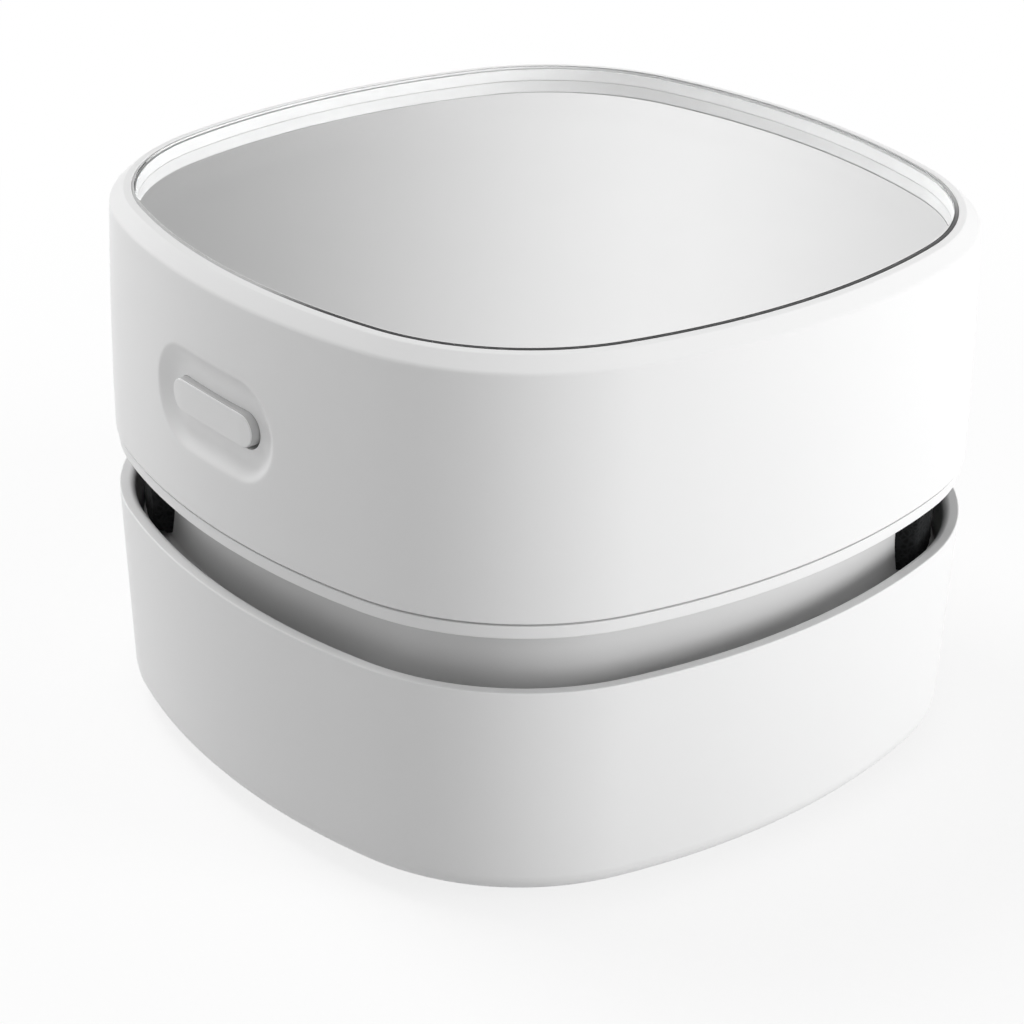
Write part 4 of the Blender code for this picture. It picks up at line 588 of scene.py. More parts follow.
def reopened(finish):
    """The tree, the shader, the present base colour's socket and new Object coordinates of a finish."""
    tree = finish.node_tree
    shader = tree.nodes["Principled BSDF"]
    place = add_node(tree, "ShaderNodeTexCoord").outputs["Object"]
    return tree, shader, shader.inputs["Base Color"].links[0].from_socket, place


def rounded_outline(half_wide, half_tall, corner, steps=6):
    """A rectangle with round corners, as an array of (u, v) points, anticlockwise."""
    turn = np.linspace(0, np.pi / 2, steps + 1)
    corners = []
    for k, (sx, sy) in enumerate(((1, 1), (-1, 1), (-1, -1), (1, -1))):
        middle = np.array([sx * (half_wide - corner), sy * (half_tall - corner)])
        angle = turn + k * np.pi / 2
        corners.append(middle + corner * np.stack([np.cos(angle), np.sin(angle)], axis=1))
    return np.vstack(corners)


def swept_window(name, outline, aside, middle_z, near, far, turn):
    """A prism of an upright (tangent, z) outline, moved aside and carried outwards along a horizontal
    direction."""
    out = np.array([np.cos(turn), np.sin(turn)])
    side = np.array([-np.sin(turn), np.cos(turn)])
    rings = []
    for reach in (near, far):
        flat = out * reach + (outline[:, :1] + aside) * side
        rings.append(np.column_stack([flat, middle_z + outline[:, 1]]))
    return grid_piece(name, np.stack(rings))


vents = [swept_window(f"vent_{side}", rounded_outline(half_wide, (VENT_TOP - VENT_LOW) / 2, 0.3 * MM), aside,
                      (VENT_LOW + VENT_TOP) / 2, VENT_NEAR, VENT_FAR, (before + 0.5) * np.pi / 2)
         for side, (half_wide, before, aside, _) in VENTS.items()]
BOLT_PLACE, BOLT_RADIUS = 25.08 * MM, 1.4 * MM
bolt_places = [(x * BOLT_PLACE, y * BOLT_PLACE) for x, y in ((1, 1), (-1, 1), (-1, -1), (1, -1))]
bolt_holes = [upright(f"bolt_hole_{k}", circle(BOLT_RADIUS, spot, 24), WEB_LOW - MM, core_high.z + MM)
              for k, spot in enumerate(bolt_places)]
settle(core, [("DIFFERENCE", tool) for tool in vents + bolt_holes])
core_abs = moulded_plastic("grey_abs_core", "dfdfdf", "d9d9d9", 0.42, 0.03, grain_depth=0.003 * MM)
tree, shader, unshaded_base, place = reopened(core_abs)
# Painted shade: the base colour greys towards the foot of the wall, in uneven patches, where the gap is deep.
level = add_node(tree, "ShaderNodeSeparateXYZ", None, {"Vector": place})
shade_rise = ranged(tree, level.outputs["Z"], PAINTED_SHADE_TOP, PAINTED_SHADE_LOW, 0.0, 1.0, interpolation_type="SMOOTHSTEP")
shade_patches = ranged(tree, noise(tree, place, 0.8 * MM, 4.0), 0.0, 1.0, 0.9, 1.0)
painted_shade = maths(tree, "MULTIPLY", shade_rise, shade_patches)
tree.links.new(mix(tree, painted_shade, unshaded_base, "c2c2c2"), shader.inputs["Base Color"])
fit(core, core_abs, "head", "plastic_grey", "vent_core")

# Exhaust foam: black reticulated polyurethane in both corner windows, cut from sheet, bent to the wall and
# pressed against it from inside, so that it swells out through them. Its cells, 45 to the inch, show as
# shallow pits, drawn a little coarser so that they can be seen, and painted darker in their middles as
# painted shade.
CELL_SIZE = 0.6 * MM
foam, tree, shader, place = new_finish("black_filter_foam")
cells = add_node(tree, "ShaderNodeTexVoronoi", {"feature": "DISTANCE_TO_EDGE", "Scale": 1 / CELL_SIZE},
                 {"Vector": place})
# Painted shade: the colour darkens from the cells' edges to their middles, the bottoms of the pits.
pit_shade_ramp = add_node(tree, "ShaderNodeValToRGB", None, {"Fac": cells.outputs["Distance"]})
pit_shade_ramp.color_ramp.elements[0].color = linear("252627")
pit_shade_ramp.color_ramp.elements[1].color = linear("121313")
pit_shade_ramp.color_ramp.elements[1].position = 0.35
bump = add_node(tree, "ShaderNodeBump", {"Distance": 0.25 * MM, "invert": True},
                {"Height": cells.outputs["Distance"]})
tree.links.new(pit_shade_ramp.outputs[0], shader.inputs["Base Color"])
tree.links.new(bump.outputs[0], shader.inputs["Normal"])
shader.inputs["Roughness"].default_value = 0.95
shader.inputs["Specular IOR Level"].default_value = 0.2


def ripple(points, size, depth, seed):
    """Height at each point: a sum of five sine waves with drawn directions and wavelengths near size."""
    draw = np.random.default_rng(seed)
    total = np.zeros(points.shape[:-1])
    for _ in range(5):
        way = draw.normal(size=points.shape[-1])
        way *= 2 * np.pi / (size * draw.uniform(0.7, 1.4)) / np.linalg.norm(way)
        total += np.sin(points @ way + draw.uniform(0, 2 * np.pi))
    return depth * total / 5


FOAM_LOW, FOAM_TOP = 21.5 * MM, 32.4 * MM
FOAM_OUTER, FOAM_INNER = 37.0 * MM, 34.5 * MM
foam_side = np.linspace(np.radians(11.2), side_turn, 20, endpoint=False)
foam_corner = np.linspace(side_turn, np.pi / 2 - side_turn, 80, endpoint=False)
foam_section = closed([
    (FOAM_INNER, (FOAM_LOW + FOAM_TOP) / 2, 0),
    (FOAM_INNER, FOAM_LOW, 0.3 * MM), (FOAM_OUTER, FOAM_LOW, 0.3 * MM),
    *[(FOAM_OUTER, z, 0) for z in np.linspace(FOAM_LOW, FOAM_TOP, 44)[1:-1]],
    (FOAM_OUTER, FOAM_TOP, 0.3 * MM), (FOAM_INNER, FOAM_TOP, 0.3 * MM),
])
for side, (half_wide, before, aside, swollen) in VENTS.items():
    bent = soft_outline([np.empty(0)] * before + [np.concatenate([foam_side, foam_corner]), -foam_side[::-1]])
    rings = soft_rings(foam_section, bent).transpose(1, 0, 2)
    middle = (before + 0.5) * np.pi / 2
    across = np.abs(rings[..., 1] * np.cos(middle) - rings[..., 0] * np.sin(middle) - aside)
    inside_edge = np.stack([half_wide - 0.1 * MM - across, rings[..., 2] - VENT_LOW - 0.1 * MM,
                            VENT_TOP - 0.1 * MM - rings[..., 2]]).min(axis=0)
    on_face = foam_section[:, 0] > FOAM_OUTER - 0.2 * MM
    swell = np.sin(np.clip(inside_edge / (0.9 * MM), 0, 1) * np.pi / 2) * on_face
    out = swollen * swell + ripple(rings, 1.6 * MM, 0.07 * MM, 3)
    rings[..., :2] += out[..., None] * bent[2][:, None, :]
    pad = grid_piece(f"exhaust_foam_pad_{side}", rings)
    fit(pad, foam, "head", "foam_black", f"exhaust_foam_{side}")

# Seal: a dark silicone ring in the flange's groove, moulded with two fine lips that wipe the bin's wall.
seal_low, seal_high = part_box("seal_ring")
seal_middle = (seal_low.z + seal_high.z) / 2
seal_height = seal_high.z - seal_low.z
SEAL_INNER = FLANGE_HALF - 0.8 * MM
seal_section = closed([
    (SEAL_INNER, seal_middle, 0),
    (SEAL_INNER, seal_low.z, 0.15 * MM),
    (seal_high.x, seal_low.z, 0.14 * MM),
    (seal_high.x, seal_low.z + 0.35 * seal_height, 0.12 * MM),
    (seal_high.x - 0.25 * MM, seal_middle, 0.1 * MM),
    (seal_high.x, seal_high.z - 0.35 * seal_height, 0.12 * MM),
    (seal_high.x, seal_high.z, 0.14 * MM),
    (SEAL_INNER, seal_high.z, 0.15 * MM),
])
seal = grid_piece("seal_lips", soft_rings(seal_section), loop=True)
silicone = mottled("dark_silicone", ("2a2b2c", "3a3b3c"), 3 * MM, 5.0, (0.55, 0.75))
fit(seal, silicone, "head", "rubber_dark", "seal_ring")

# Filter frame: a grey ABS tray pushed into the flange, with a grid of square cells in its floor, and the
# needled felt that lies on the grid.
tray_low, tray_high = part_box("filter_frame")
TRAY_WALL, TRAY_FLOOR, TRAY_BAR, TRAY_CELLS = 1.4 * MM, 1.2 * MM, 1.4 * MM, 5
FLAT_CORE, FLAT_FROM = 6 * MM, 25 * MM
tray_inner = tray_high.x - TRAY_WALL
tray_section = rounded([
    (FLAT_CORE, tray_low.z + TRAY_FLOOR, 0),
    (tray_inner - 3 * MM, tray_low.z + TRAY_FLOOR, 0),
    (tray_inner, tray_low.z + TRAY_FLOOR, 0.3 * MM),
    (tray_inner, tray_high.z, 0.25 * MM),
    (tray_high.x, tray_high.z, 0.25 * MM),
    (tray_high.x, tray_low.z, 0.35 * MM),
    (tray_high.x - 3 * MM, tray_low.z, 0),
    (FLAT_CORE, tray_low.z, 0),
])


def plate_rings(section):
    """Soft rings whose rows narrower than FLAT_FROM are the row at FLAT_FROM, scaled towards the axis."""
    rings = soft_rings(np.column_stack([np.maximum(section[:, 0], FLAT_FROM), section[:, 1]]))
    rings[..., :2] *= np.minimum(section[:, 0] / FLAT_FROM, 1)[:, None, None]
    return rings


tray = grid_piece("filter_tray", plate_rings(tray_section))
pitch = 2 * tray_inner / TRAY_CELLS
cell = (pitch - TRAY_BAR) / 2
cell_outline = rounded_outline(cell, cell, 0.8 * MM, 4)
middles = (np.arange(TRAY_CELLS) - (TRAY_CELLS - 1) / 2) * pitch
openings = [
    upright(f"cell_{i}_{j}", cell_outline + (x, y), tray_low.z - MM, tray_low.z + TRAY_FLOOR + MM)
    for i, x in enumerate(middles) for j, y in enumerate(middles) if np.hypot(x, y) + cell < tray_inner
]
settle(tray, [("DIFFERENCE", opening) for opening in openings])
fit(tray, grey_abs, "head", "plastic_grey", "filter_frame")

felt, tree, shader, place = new_finish("needled_felt")
fibres = noise(tree, place, 0.25 * MM, 6.0, Distortion=1.5)
needles = add_node(tree, "ShaderNodeTexVoronoi", {"Scale": 1 / (1.8 * MM)}, {"Vector": place})
height = maths(tree, "MULTIPLY", fibres, needles.outputs["Distance"])
coat(tree, shader, ("dedbd3", "f1efe9"), fibres, depth=0.2 * MM, relief=height)
shader.inputs["Roughness"].default_value = 0.95
shader.inputs["Sheen Weight"].default_value = 0.3
pad_low, pad_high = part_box("filter_pad")
FELT_ROWS = 40
spread = np.linspace(0.04, 1, FELT_ROWS)
face = np.column_stack([pad_high.x * spread, np.full(FELT_ROWS, pad_high.z)])
edge = rounded([
    (pad_high.x * 0.99, pad_high.z, 0), (pad_high.x, pad_high.z, 0.5 * MM),
    (pad_high.x, pad_low.z, 0.4 * MM), (pad_high.x * 0.99, pad_low.z, 0),
])
back = np.column_stack([pad_high.x * spread[::-1], np.full(FELT_ROWS, pad_low.z)])
rings = plate_rings(np.vstack([face[:-1], edge, back[1:]]))
bars = np.minimum(np.abs((rings[..., :2] / pitch + 0.5) % 1 - 0.5).min(axis=2) * pitch, 3 * MM) / (3 * MM)
sag = np.where(rings[..., 2] < (pad_low.z + pad_high.z) / 2, -0.12 * MM * bars, 0.1 * MM * (bars - 1))
rings[..., 2] += sag + ripple(rings[..., :2], 5 * MM, 0.06 * MM, 8)
filter_felt = grid_piece("filter_felt", rings)
fit(filter_felt, felt, "head", "felt_white", "filter_pad")

# Trim ring: a thin white ABS ring, clipped under the housing, whose lower edge rolls in towards the core.
ring_low, ring_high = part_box("base_ring")
RING_HALF = body_half - 0.15 * MM
RING_INNER = CORE_HALF + 0.3 * MM
trim_section = closed([
    (RING_INNER, ring_high.z - 0.7 * MM, 0),
    (RING_INNER, ring_high.z, 0.15 * MM),
    (RING_HALF, ring_high.z, 0.1 * MM),
    (RING_HALF - 0.15 * MM, ring_low.z, 0.2 * MM),
    (RING_INNER, ring_low.z, 0.25 * MM),
])
white_abs = moulded_plastic("white_abs_housing", "f4f4f4", "f0f0f0", 0.34, 0.02)
trim = grid_piece("trim_ring", soft_rings(trim_section), loop=True)
fit(trim, white_abs, "head", "shell_white", "base_ring")

# Housing: the white ABS upper shell. Its wall is upright at the seam and draws in by 0.7 mm up to a rounded
# crest, a bevelled rim runs in to the lip, and a coved dish for the button is moulded into the -Y side.
shell_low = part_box("upper_shell")[0]
LIP_TOP = 61.56 * MM
SHELL_DRAFT = 0.72 * MM
CREST = LIP_TOP - 1.45 * MM
LIP_HALF = body_half - 3.15 * MM
LEDGE = LIP_TOP - 3.5 * MM
SHELL_MIDDLE = 45 * MM
LEDGE_HALF = LIP_HALF - 2.2 * MM
SHELL_INNER = body_half - 2.0 * MM
BUTTON_Z = shell_low.z + (CREST - shell_low.z) * 0.49
DISH_LONG, DISH_HIGH = 10.45 * MM, 5.65 * MM
DISH_SLOPE, DISH_DEPTH = 2.6 * MM, 1.0 * MM
BUTTON_LONG, BUTTON_HIGH = 7.1 * MM, 1.8 * MM

DISH_TURN = np.radians(8.6)
dish_turns = np.linspace(-DISH_TURN, DISH_TURN, 97)
outer_turns = np.linspace(-side_turn, dish_turns[0], 8)[:-1]
fine_side = np.concatenate([outer_turns, dish_turns, -outer_turns[:0:-1]])
front_quarter = np.concatenate([fine_side, quarter(26, 24)[26:]])
HOUSING = soft_outline([quarter(26, 24)] * 3 + [front_quarter])


def wall_half(z):
    """Half width of the outer wall: it draws in by SHELL_DRAFT at the crest, with the 1.9th power of the
    height, so that it is upright at the seam."""
    return body_half - SHELL_DRAFT * ((z - shell_low.z) / (CREST - shell_low.z)) ** 1.9


dish_top, dish_foot = BUTTON_Z + DISH_HIGH + 0.6 * MM, BUTTON_Z - DISH_HIGH - 0.6 * MM
wall_rows = np.concatenate([np.linspace(CREST - 1.2 * MM, dish_top, 6, endpoint=False),
                            np.linspace(dish_top, dish_foot, 61),
                            np.linspace(dish_foot, shell_low.z + 0.5 * MM, 6)[1:]])
outer_wall = [(wall_half(z), z, 0) for z in wall_rows]
housing_section = closed([
    (SHELL_INNER, SHELL_MIDDLE, 0),
    (SHELL_INNER, LEDGE - 1.5 * MM - (SHELL_INNER - LEDGE_HALF), 0.5 * MM),
    (LEDGE_HALF, LEDGE - 1.5 * MM, 0.3 * MM),
    (LEDGE_HALF, LEDGE, 0.2 * MM),
    (LIP_HALF, LEDGE, 0.1 * MM),
    (LIP_HALF, LIP_TOP, 0.12 * MM),
    (LIP_HALF + 0.85 * MM, LIP_TOP - 0.12 * MM, 0.3 * MM),
    (wall_half(CREST), CREST, 0.65 * MM),
    *outer_wall,
    (body_half, shell_low.z, 0.1 * MM),
    (SHELL_INNER, shell_low.z, 0.2 * MM),
])
rings = soft_rings(housing_section, HOUSING)


def into_dish(x, z):
    """How far a point of the side lies inside the dish's oblong outline, as a share of its slope: the
    distance to the oblong's middle line is taken from its half height, so the cove has one width."""
    reach = np.maximum(np.abs(x) - (DISH_LONG - DISH_HIGH), 0)
    return np.clip((DISH_HIGH - np.hypot(reach, z - BUTTON_Z)) / DISH_SLOPE, 0, 1)


share = into_dish(rings[..., 0], rings[..., 2])
cove = 1 - (1 - 1.12 * share ** 2 / (share + 0.12)) ** 2.2
outside = (housing_section[:, 0] > SHELL_INNER + MM) & (housing_section[:, 1] > shell_low.z + MM)
on_front = (rings[..., 1] < -0.9 * SHELL_INNER) & outside[:, None]
rings[..., 1] += np.where(on_front, DISH_DEPTH * cove, 0)
housing = grid_piece("housing", rings, loop=True)


def oblong(half_long, half_high, steps=20):
    """An oblong outline with round ends, as (u, v) points."""
    turn = np.linspace(-np.pi / 2, np.pi / 2, steps + 1)
    right = np.stack([np.cos(turn), np.sin(turn)], axis=1) * half_high + (half_long - half_high, 0)
    return np.vstack([right, -right])


def lofted(stations, middle_z):
    """Rings along Y: each ((half length, half height), y) is an oblong ring."""
    return np.stack([np.column_stack([ring[:, 0], np.full(len(ring), y), middle_z + ring[:, 1]])
                     for ring, y in ((oblong(*halves), y) for halves, y in stations)])


def along_y(name, stations, middle_z):
    """A closed loft of such rings."""
    return grid_piece(name, lofted(stations, middle_z))


BOSS_LOW, BOSS_HIGH, BOSS_RADIUS, BORE_TOP = 36.6 * MM, 48.6 * MM, 3.0 * MM, 44.2 * MM
bosses = [upright(f"boss_{k}", circle(BOSS_RADIUS, spot, 40), BOSS_LOW, BOSS_HIGH)
          for k, spot in enumerate(bolt_places)]
webs = [soft_box(f"web_{k}", (35.5 * MM, -0.7 * MM, BOSS_LOW + 0.4 * MM),
                 (corner_centre + CORNER_RADIUS - 1.1 * MM, 0.7 * MM, BOSS_HIGH - 0.4 * MM), 0.2 * MM,
                 (k + 0.5) * np.pi / 2) for k in range(4)]
bores = [upright(f"bore_{k}", circle(BOLT_RADIUS, spot, 24), BOSS_LOW - MM, BORE_TOP)
         for k, spot in enumerate(bolt_places)]
pad_back = -(SHELL_INNER - 1.6 * MM)
thick_pad = along_y("thick_pad", [((DISH_LONG + 1.1 * MM, DISH_HIGH + 1.1 * MM), y)
                                  for y in (pad_back, -SHELL_INNER - 0.4 * MM)], BUTTON_Z)
HOLE_GAP = 0.27 * MM
hole = (BUTTON_LONG + HOLE_GAP, BUTTON_HIGH + HOLE_GAP)
button_hole = along_y("button_hole", [(hole, pad_back + MM), (hole, -body_half - MM)], BUTTON_Z - 0.2 * MM)
SOCKET_Z = (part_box("usb_shell")[0].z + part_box("usb_shell")[1].z) / 2
slot = (4.95 * MM, 2.1 * MM)
wide_slot = tuple(half + 0.35 * MM for half in slot)
socket_slot = along_y("socket_slot", [
    (slot, SHELL_INNER - MM), (slot, body_half - 0.4 * MM),
    (wide_slot, body_half - 0.04 * MM), (wide_slot, body_half + MM)], SOCKET_Z)
settle(housing, [("UNION", part) for part in bosses + webs + [thick_pad]]
       + [("DIFFERENCE", tool) for tool in bores + [button_hole, socket_slot]])
fit(housing, white_abs, "head", "shell_white", "upper_shell")

# Power button: a white ABS cap on its own slide, in a grey sleeve whose grey is painted shade on its flanks.
# The cap follows the side's curve, stands a hair below it, and has a crisp edge. Behind it are the flange
# that keeps it in and the stem that reaches the switch.
RECESS, BUTTON_EDGE, BUTTON_DRAFT = 0.05 * MM, 0.08 * MM, 0.02 * MM
flange_front, flange_back, stem_end = -39.6 * MM, -38.4 * MM, -35.6 * MM
STEM, STEM_TIP = (2.1 * MM, 1.6 * MM), (2.0 * MM, 1.5 * MM)
front_half = wall_half(BUTTON_Z)
front_radius = SIDE_RADIUS - body_half + front_half


def curved_ring(inset, sink):
    """An oblong ring on the side's own arc, moved in by inset and sunk by sink."""
    ring = oblong(BUTTON_LONG - inset, BUTTON_HIGH - inset)
    side = np.sqrt(front_radius ** 2 - ring[:, 0] ** 2) + front_half - front_radius
    return np.column_stack([ring[:, 0], RECESS + sink - side, BUTTON_Z + ring[:, 1]])


def flat_ring(halves, y):
    return lofted([(halves, y)], BUTTON_Z)[0]


inner_insets = (0.999 * BUTTON_HIGH, 1.6 * MM, 1.2 * MM, 0.8 * MM, BUTTON_EDGE + BUTTON_DRAFT + SUPPORT)
bend = np.linspace(0, np.pi / 2, 7)
edge_insets = BUTTON_DRAFT + BUTTON_EDGE * (1 - np.sin(bend))
edge_sinks = BUTTON_EDGE * (1 - np.cos(bend))
flange = (BUTTON_LONG + 1.5 * MM, BUTTON_HIGH + 1.5 * MM)
cap_back = curved_ring(0, BUTTON_EDGE + 0.5 * MM)
rings = [curved_ring(inset, 0) for inset in inner_insets]
rings += [curved_ring(inset, sink) for inset, sink in zip(edge_insets, edge_sinks)]
rings += [cap_back] + [flat_ring(halves, y) for halves, y in (
    ((BUTTON_LONG, BUTTON_HIGH), flange_front - 0.2 * MM), ((BUTTON_LONG, BUTTON_HIGH), flange_front),
    (flange, flange_front), (flange, flange_back),
    (STEM, flange_back), (STEM, stem_end - 0.1 * MM), (STEM_TIP, stem_end))]
button = grid_piece("push_button", np.stack(rings))
button.data.set_sharp_from_angle(angle=np.radians(40))
button_abs = moulded_plastic("white_abs_button", "f3f3f3", "efefef", 0.32, 0.02)
fit(button, button_abs, "button", "shell_white", "power_button")
# A grey sleeve round the cap, whose darker grey is painted shade on the cap's flanks and in the gap round it.
shaded_sleeve_outside = (BUTTON_LONG + 0.05 * MM, BUTTON_HIGH + 0.05 * MM)
shaded_sleeve_inside = (BUTTON_LONG - 0.2 * MM, BUTTON_HIGH - 0.2 * MM)
shaded_sleeve = grid_piece("button_shaded_sleeve", np.stack([
    curved_ring(0.2 * MM, 0.14 * MM), curved_ring(-0.02 * MM, 0.14 * MM), curved_ring(-0.05 * MM, 0.17 * MM),
    flat_ring(shaded_sleeve_outside, flange_front), flat_ring(shaded_sleeve_inside, flange_front)]), loop=True)
shaded_sleeve.data.set_sharp_from_angle(angle=np.radians(40))
sleeve_shade_grey = moulded_plastic("sleeve_shade_grey", "c8c8c8", "c2c2c2", 0.6, 0.04)
fit(shaded_sleeve, sleeve_shade_grey, "button", "shell_white")

# Deck plate: silver vapour-coated ABS under the window. The coat is a mirror with a soft grey cast and
# the faintest orange peel.
deck_low, deck_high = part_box("deck_plate")
deck_section = rounded([
    (deck_high.x - 3 * MM, deck_low.z, 0), (deck_high.x, deck_low.z, 0.15 * MM),
    (deck_high.x, deck_high.z, 0.12 * MM), (deck_high.x - 3 * MM, deck_high.z, 0),
])
deck = grid_piece("silver_deck", soft_rings(deck_section))
silver = mottled("vapour_coated_silver", ("f3f3f3", "f1f1f1"), 9 * MM, 2.0, (0.035, 0.055), metallic=1.0)
fit(deck, silver, "head", "deck_silver", "deck_plate")

# Window: a clear PMMA lens, cast and polished, flush in the lip. It lies on a white spacer that keeps it
# off the deck, 0.3 mm nearer the -X side. A dark strip in the slit round it paints the slit's shadow:
# black where the slit is wide, at the +X side, and pale where it is squeezed thin.
lens_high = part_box("top_window")[1]
LENS_HALF, LENS_THICKNESS = LIP_HALF - 0.32 * MM, 0.5 * MM
OFF_CENTRE = np.array((-0.28 * MM, 0.12 * MM, 0))
lens_under = lens_high.z - LENS_THICKNESS
lens_section = rounded([
    (LENS_HALF - 3 * MM, lens_under, 0), (LENS_HALF, lens_under, 0.03 * MM),
    (LENS_HALF, lens_high.z, 0.1 * MM), (LENS_HALF - 3 * MM, lens_high.z, 0),
])
lens = grid_piece("clear_lens", soft_rings(lens_section) + OFF_CENTRE)
spacer_inner = LENS_HALF - 0.2 * MM
spacer = grid_piece("lens_spacer", soft_rings(closed([
    (LENS_HALF, deck_high.z, 0), (spacer_inner, deck_high.z, 0.06 * MM),
    (spacer_inner, lens_under, 0.03 * MM), (LIP_HALF, lens_under, 0.03 * MM),
    (LIP_HALF, deck_high.z, 0.05 * MM)])), loop=True)
spacer_abs = moulded_plastic("white_abs_spacer", "e6e6e6", "e2e2e2", 0.42, 0.03)
fit(spacer, spacer_abs, "head", "shell_white")
# A dark strip in the slit round the lens, standing in for the slit's shadow: painted shadow.
SHADOW_STRIP_TOP, SHADOW_STRIP_DEPTH = LIP_TOP - 0.07 * MM, 0.12 * MM
PALE_SHADOW_TO, DEEP_SHADOW_FROM, DEEP_SHADOW_SIDE = 15 * MM, 27 * MM, (1.0, -0.3, 0.0)
shadow_strip_low = SHADOW_STRIP_TOP - SHADOW_STRIP_DEPTH
shadow_strip_outer = soft_rings(np.array([(LIP_HALF, SHADOW_STRIP_TOP), (LIP_HALF, shadow_strip_low)]))
shadow_strip_inner = soft_rings(np.array([(LENS_HALF, shadow_strip_low), (LENS_HALF, SHADOW_STRIP_TOP)])) + OFF_CENTRE
shadow_strip = grid_piece("painted_slit_shadow", np.concatenate([shadow_strip_inner, shadow_strip_outer]), loop=True)
clear, tree, shader, place = new_finish("clear_pmma")
coat(tree, shader, ("fdfdfd", "fbfbfb"), noise(tree, place, 14 * MM, 3.0))
shader.inputs["Roughness"].default_value = 0.0
shader.inputs["IOR"].default_value = 1.05
shader.inputs["Transmission Weight"].default_value = 1.0
lamp_ray = add_node(tree, "ShaderNodeLightPath")
open_way = add_node(tree, "ShaderNodeBsdfTransparent", {"Color": linear("f6f7f7")})
either = add_node(tree, "ShaderNodeMixShader", None,
                  {0: lamp_ray.outputs["Is Shadow Ray"], 1: shader.outputs[0], 2: open_way.outputs[0]})
tree.links.new(either.outputs[0], tree.nodes["Material Output"].inputs["Surface"])
fit(lens, clear, "head", "window_clear", "top_window")
slit_shadow_paint = moulded_plastic("slit_shadow_paint", "232324", "2b2b2c", 0.35, 0.05, grain_depth=0.002 * MM)
tree, shader, black, place = reopened(slit_shadow_paint)
# Painted shadow: the strip goes from pale grey to black towards the +X side, where the slit's shadow is
# deepest.
towards = add_node(tree, "ShaderNodeVectorMath", {"operation": "DOT_PRODUCT", 1: DEEP_SHADOW_SIDE}, {0: place})
thick = ranged(tree, towards.outputs["Value"], PALE_SHADOW_TO, DEEP_SHADOW_FROM, 0.0, 1.0, interpolation_type="SMOOTHSTEP")
tree.links.new(mix(tree, thick, "bebebe", black), shader.inputs["Base Color"])
fit(shadow_strip, slit_shadow_paint, "head", "plastic_black")

# Charging socket: a folded steel sleeve flush behind its slot in the +Y side, with a black LCP tongue
# whose gold contact strips on both faces are not drawn.
sleeve_low, sleeve_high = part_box("usb_shell")
SLEEVE = (4.45 * MM, 1.6 * MM)
SLEEVE_WALL = 0.35 * MM
sleeve_inner = tuple(half - SLEEVE_WALL for half in SLEEVE)
mouth, rear = sleeve_high.y, sleeve_low.y
lip = tuple(half - SLEEVE_WALL / 2 for half in SLEEVE)
sleeve = grid_piece("socket_sleeve", lofted([
    (SLEEVE, rear), (SLEEVE, mouth - 0.15 * MM), (lip, mouth),
    (sleeve_inner, mouth - 0.15 * MM), (sleeve_inner, rear)], SOCKET_Z), loop=True)
sleeve.data.set_sharp_from_angle(angle=np.radians(50))
fit(sleeve, plated, "head", "motor_steel", "usb_shell")
black_abs = moulded_plastic("black_plastic", "202122", "2a2b2c", 0.45, 0.04, grain_depth=0.004 * MM)
TONGUE = (3.3 * MM, 0.4 * MM)
root = tuple(half - 0.3 * MM for half in sleeve_inner)
tongue = grid_piece("socket_tongue", lofted([
    (root, rear), (root, rear + 1.6 * MM), (TONGUE, rear + 1.6 * MM), (TONGUE, mouth - 1.0 * MM),
    ((TONGUE[0] - 0.2 * MM, TONGUE[1] - 0.15 * MM), mouth - 0.8 * MM)], SOCKET_Z))
tongue.data.set_sharp_from_angle(angle=np.radians(40))
fit(tongue, black_abs, "head", "plastic_black", "usb_tongue")

# Inside the head, carried over as they are packed: the chassis, the fan and its housing, the motor and
# its fittings, the switch, the boards and the battery, each with the finish that it has in the hand.


def dress(finish, *names):
    """Gives carried-over CAD nodes a finish by their own material slots."""
    for name in names:
        nodes[name].material_slots[0].material = finish


dress(white_abs, "chassis_plate")
dress(grey_abs, "fan_housing", "motor_clamp", "battery_cradle")
dress(black_abs, "switch_body", "switch_plunger")
for number in (1, 2, 3, 4):
    screw(f"chassis_screw_{number}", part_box(f"chassis_screw_{number}")[0].z + 1.6 * MM, 2.3 * MM, 1.6 * MM,
          1.05 * MM, "head")
for side in ("left", "right"):
    for kind in ("clamp", "board"):
        node = f"{kind}_screw_{side}"
        screw(node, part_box(node)[1].z - 1.2 * MM, 1.8 * MM, 1.2 * MM, 0.8 * MM, "head")

# Impeller: a black glass filled nylon fan, moulded in one piece and pressed on the shaft. Its resin rich
# skin is dull, with pale flecks where the glass comes near it.
filled = mottled("glass_filled_nylon", ("1d1e1f", "353637"), 0.6 * MM, 6.0, (0.42, 0.62), 0.01 * MM,
                 Roughness=0.8)
dress(filled, "impeller")

# Motor: a drawn steel can with a nickel plate, its ground shaft, and a natural nylon end cap that holds
# the brass terminals. Drawing leaves fine lines up the can.
drawn, tree, shader, place = new_finish("nickel_plated_drawn_steel")
along = add_node(tree, "ShaderNodeMapping", {"Scale": (1, 1, 0.04)}, {"Vector": place})
lines = noise(tree, along.outputs[0], 0.15 * MM, 3.0)
coat(tree, shader, ("cfd0cf", "b9bab8"), noise(tree, place, 5 * MM, 4.0), (0.18, 0.34), 0.003 * MM,
     wear=lines, relief=lines)
shader.inputs["Metallic"].default_value = 1.0
dress(drawn, "motor_can", "motor_shaft")

brass = mottled("stamped_brass", ("e3cf93", "c3a866"), 0.8 * MM, 5.0, (0.2, 0.4), 0.003 * MM, metallic=1.0)
dress(brass, "motor_terminal_left", "motor_terminal_right", "battery_contact_left", "battery_contact_right")
natural_nylon = moulded_plastic("natural_nylon", "e9e6dd", "e0dcd0", 0.4, 0.05, grain_depth=0.004 * MM)
dress(natural_nylon, "motor_end_cap")

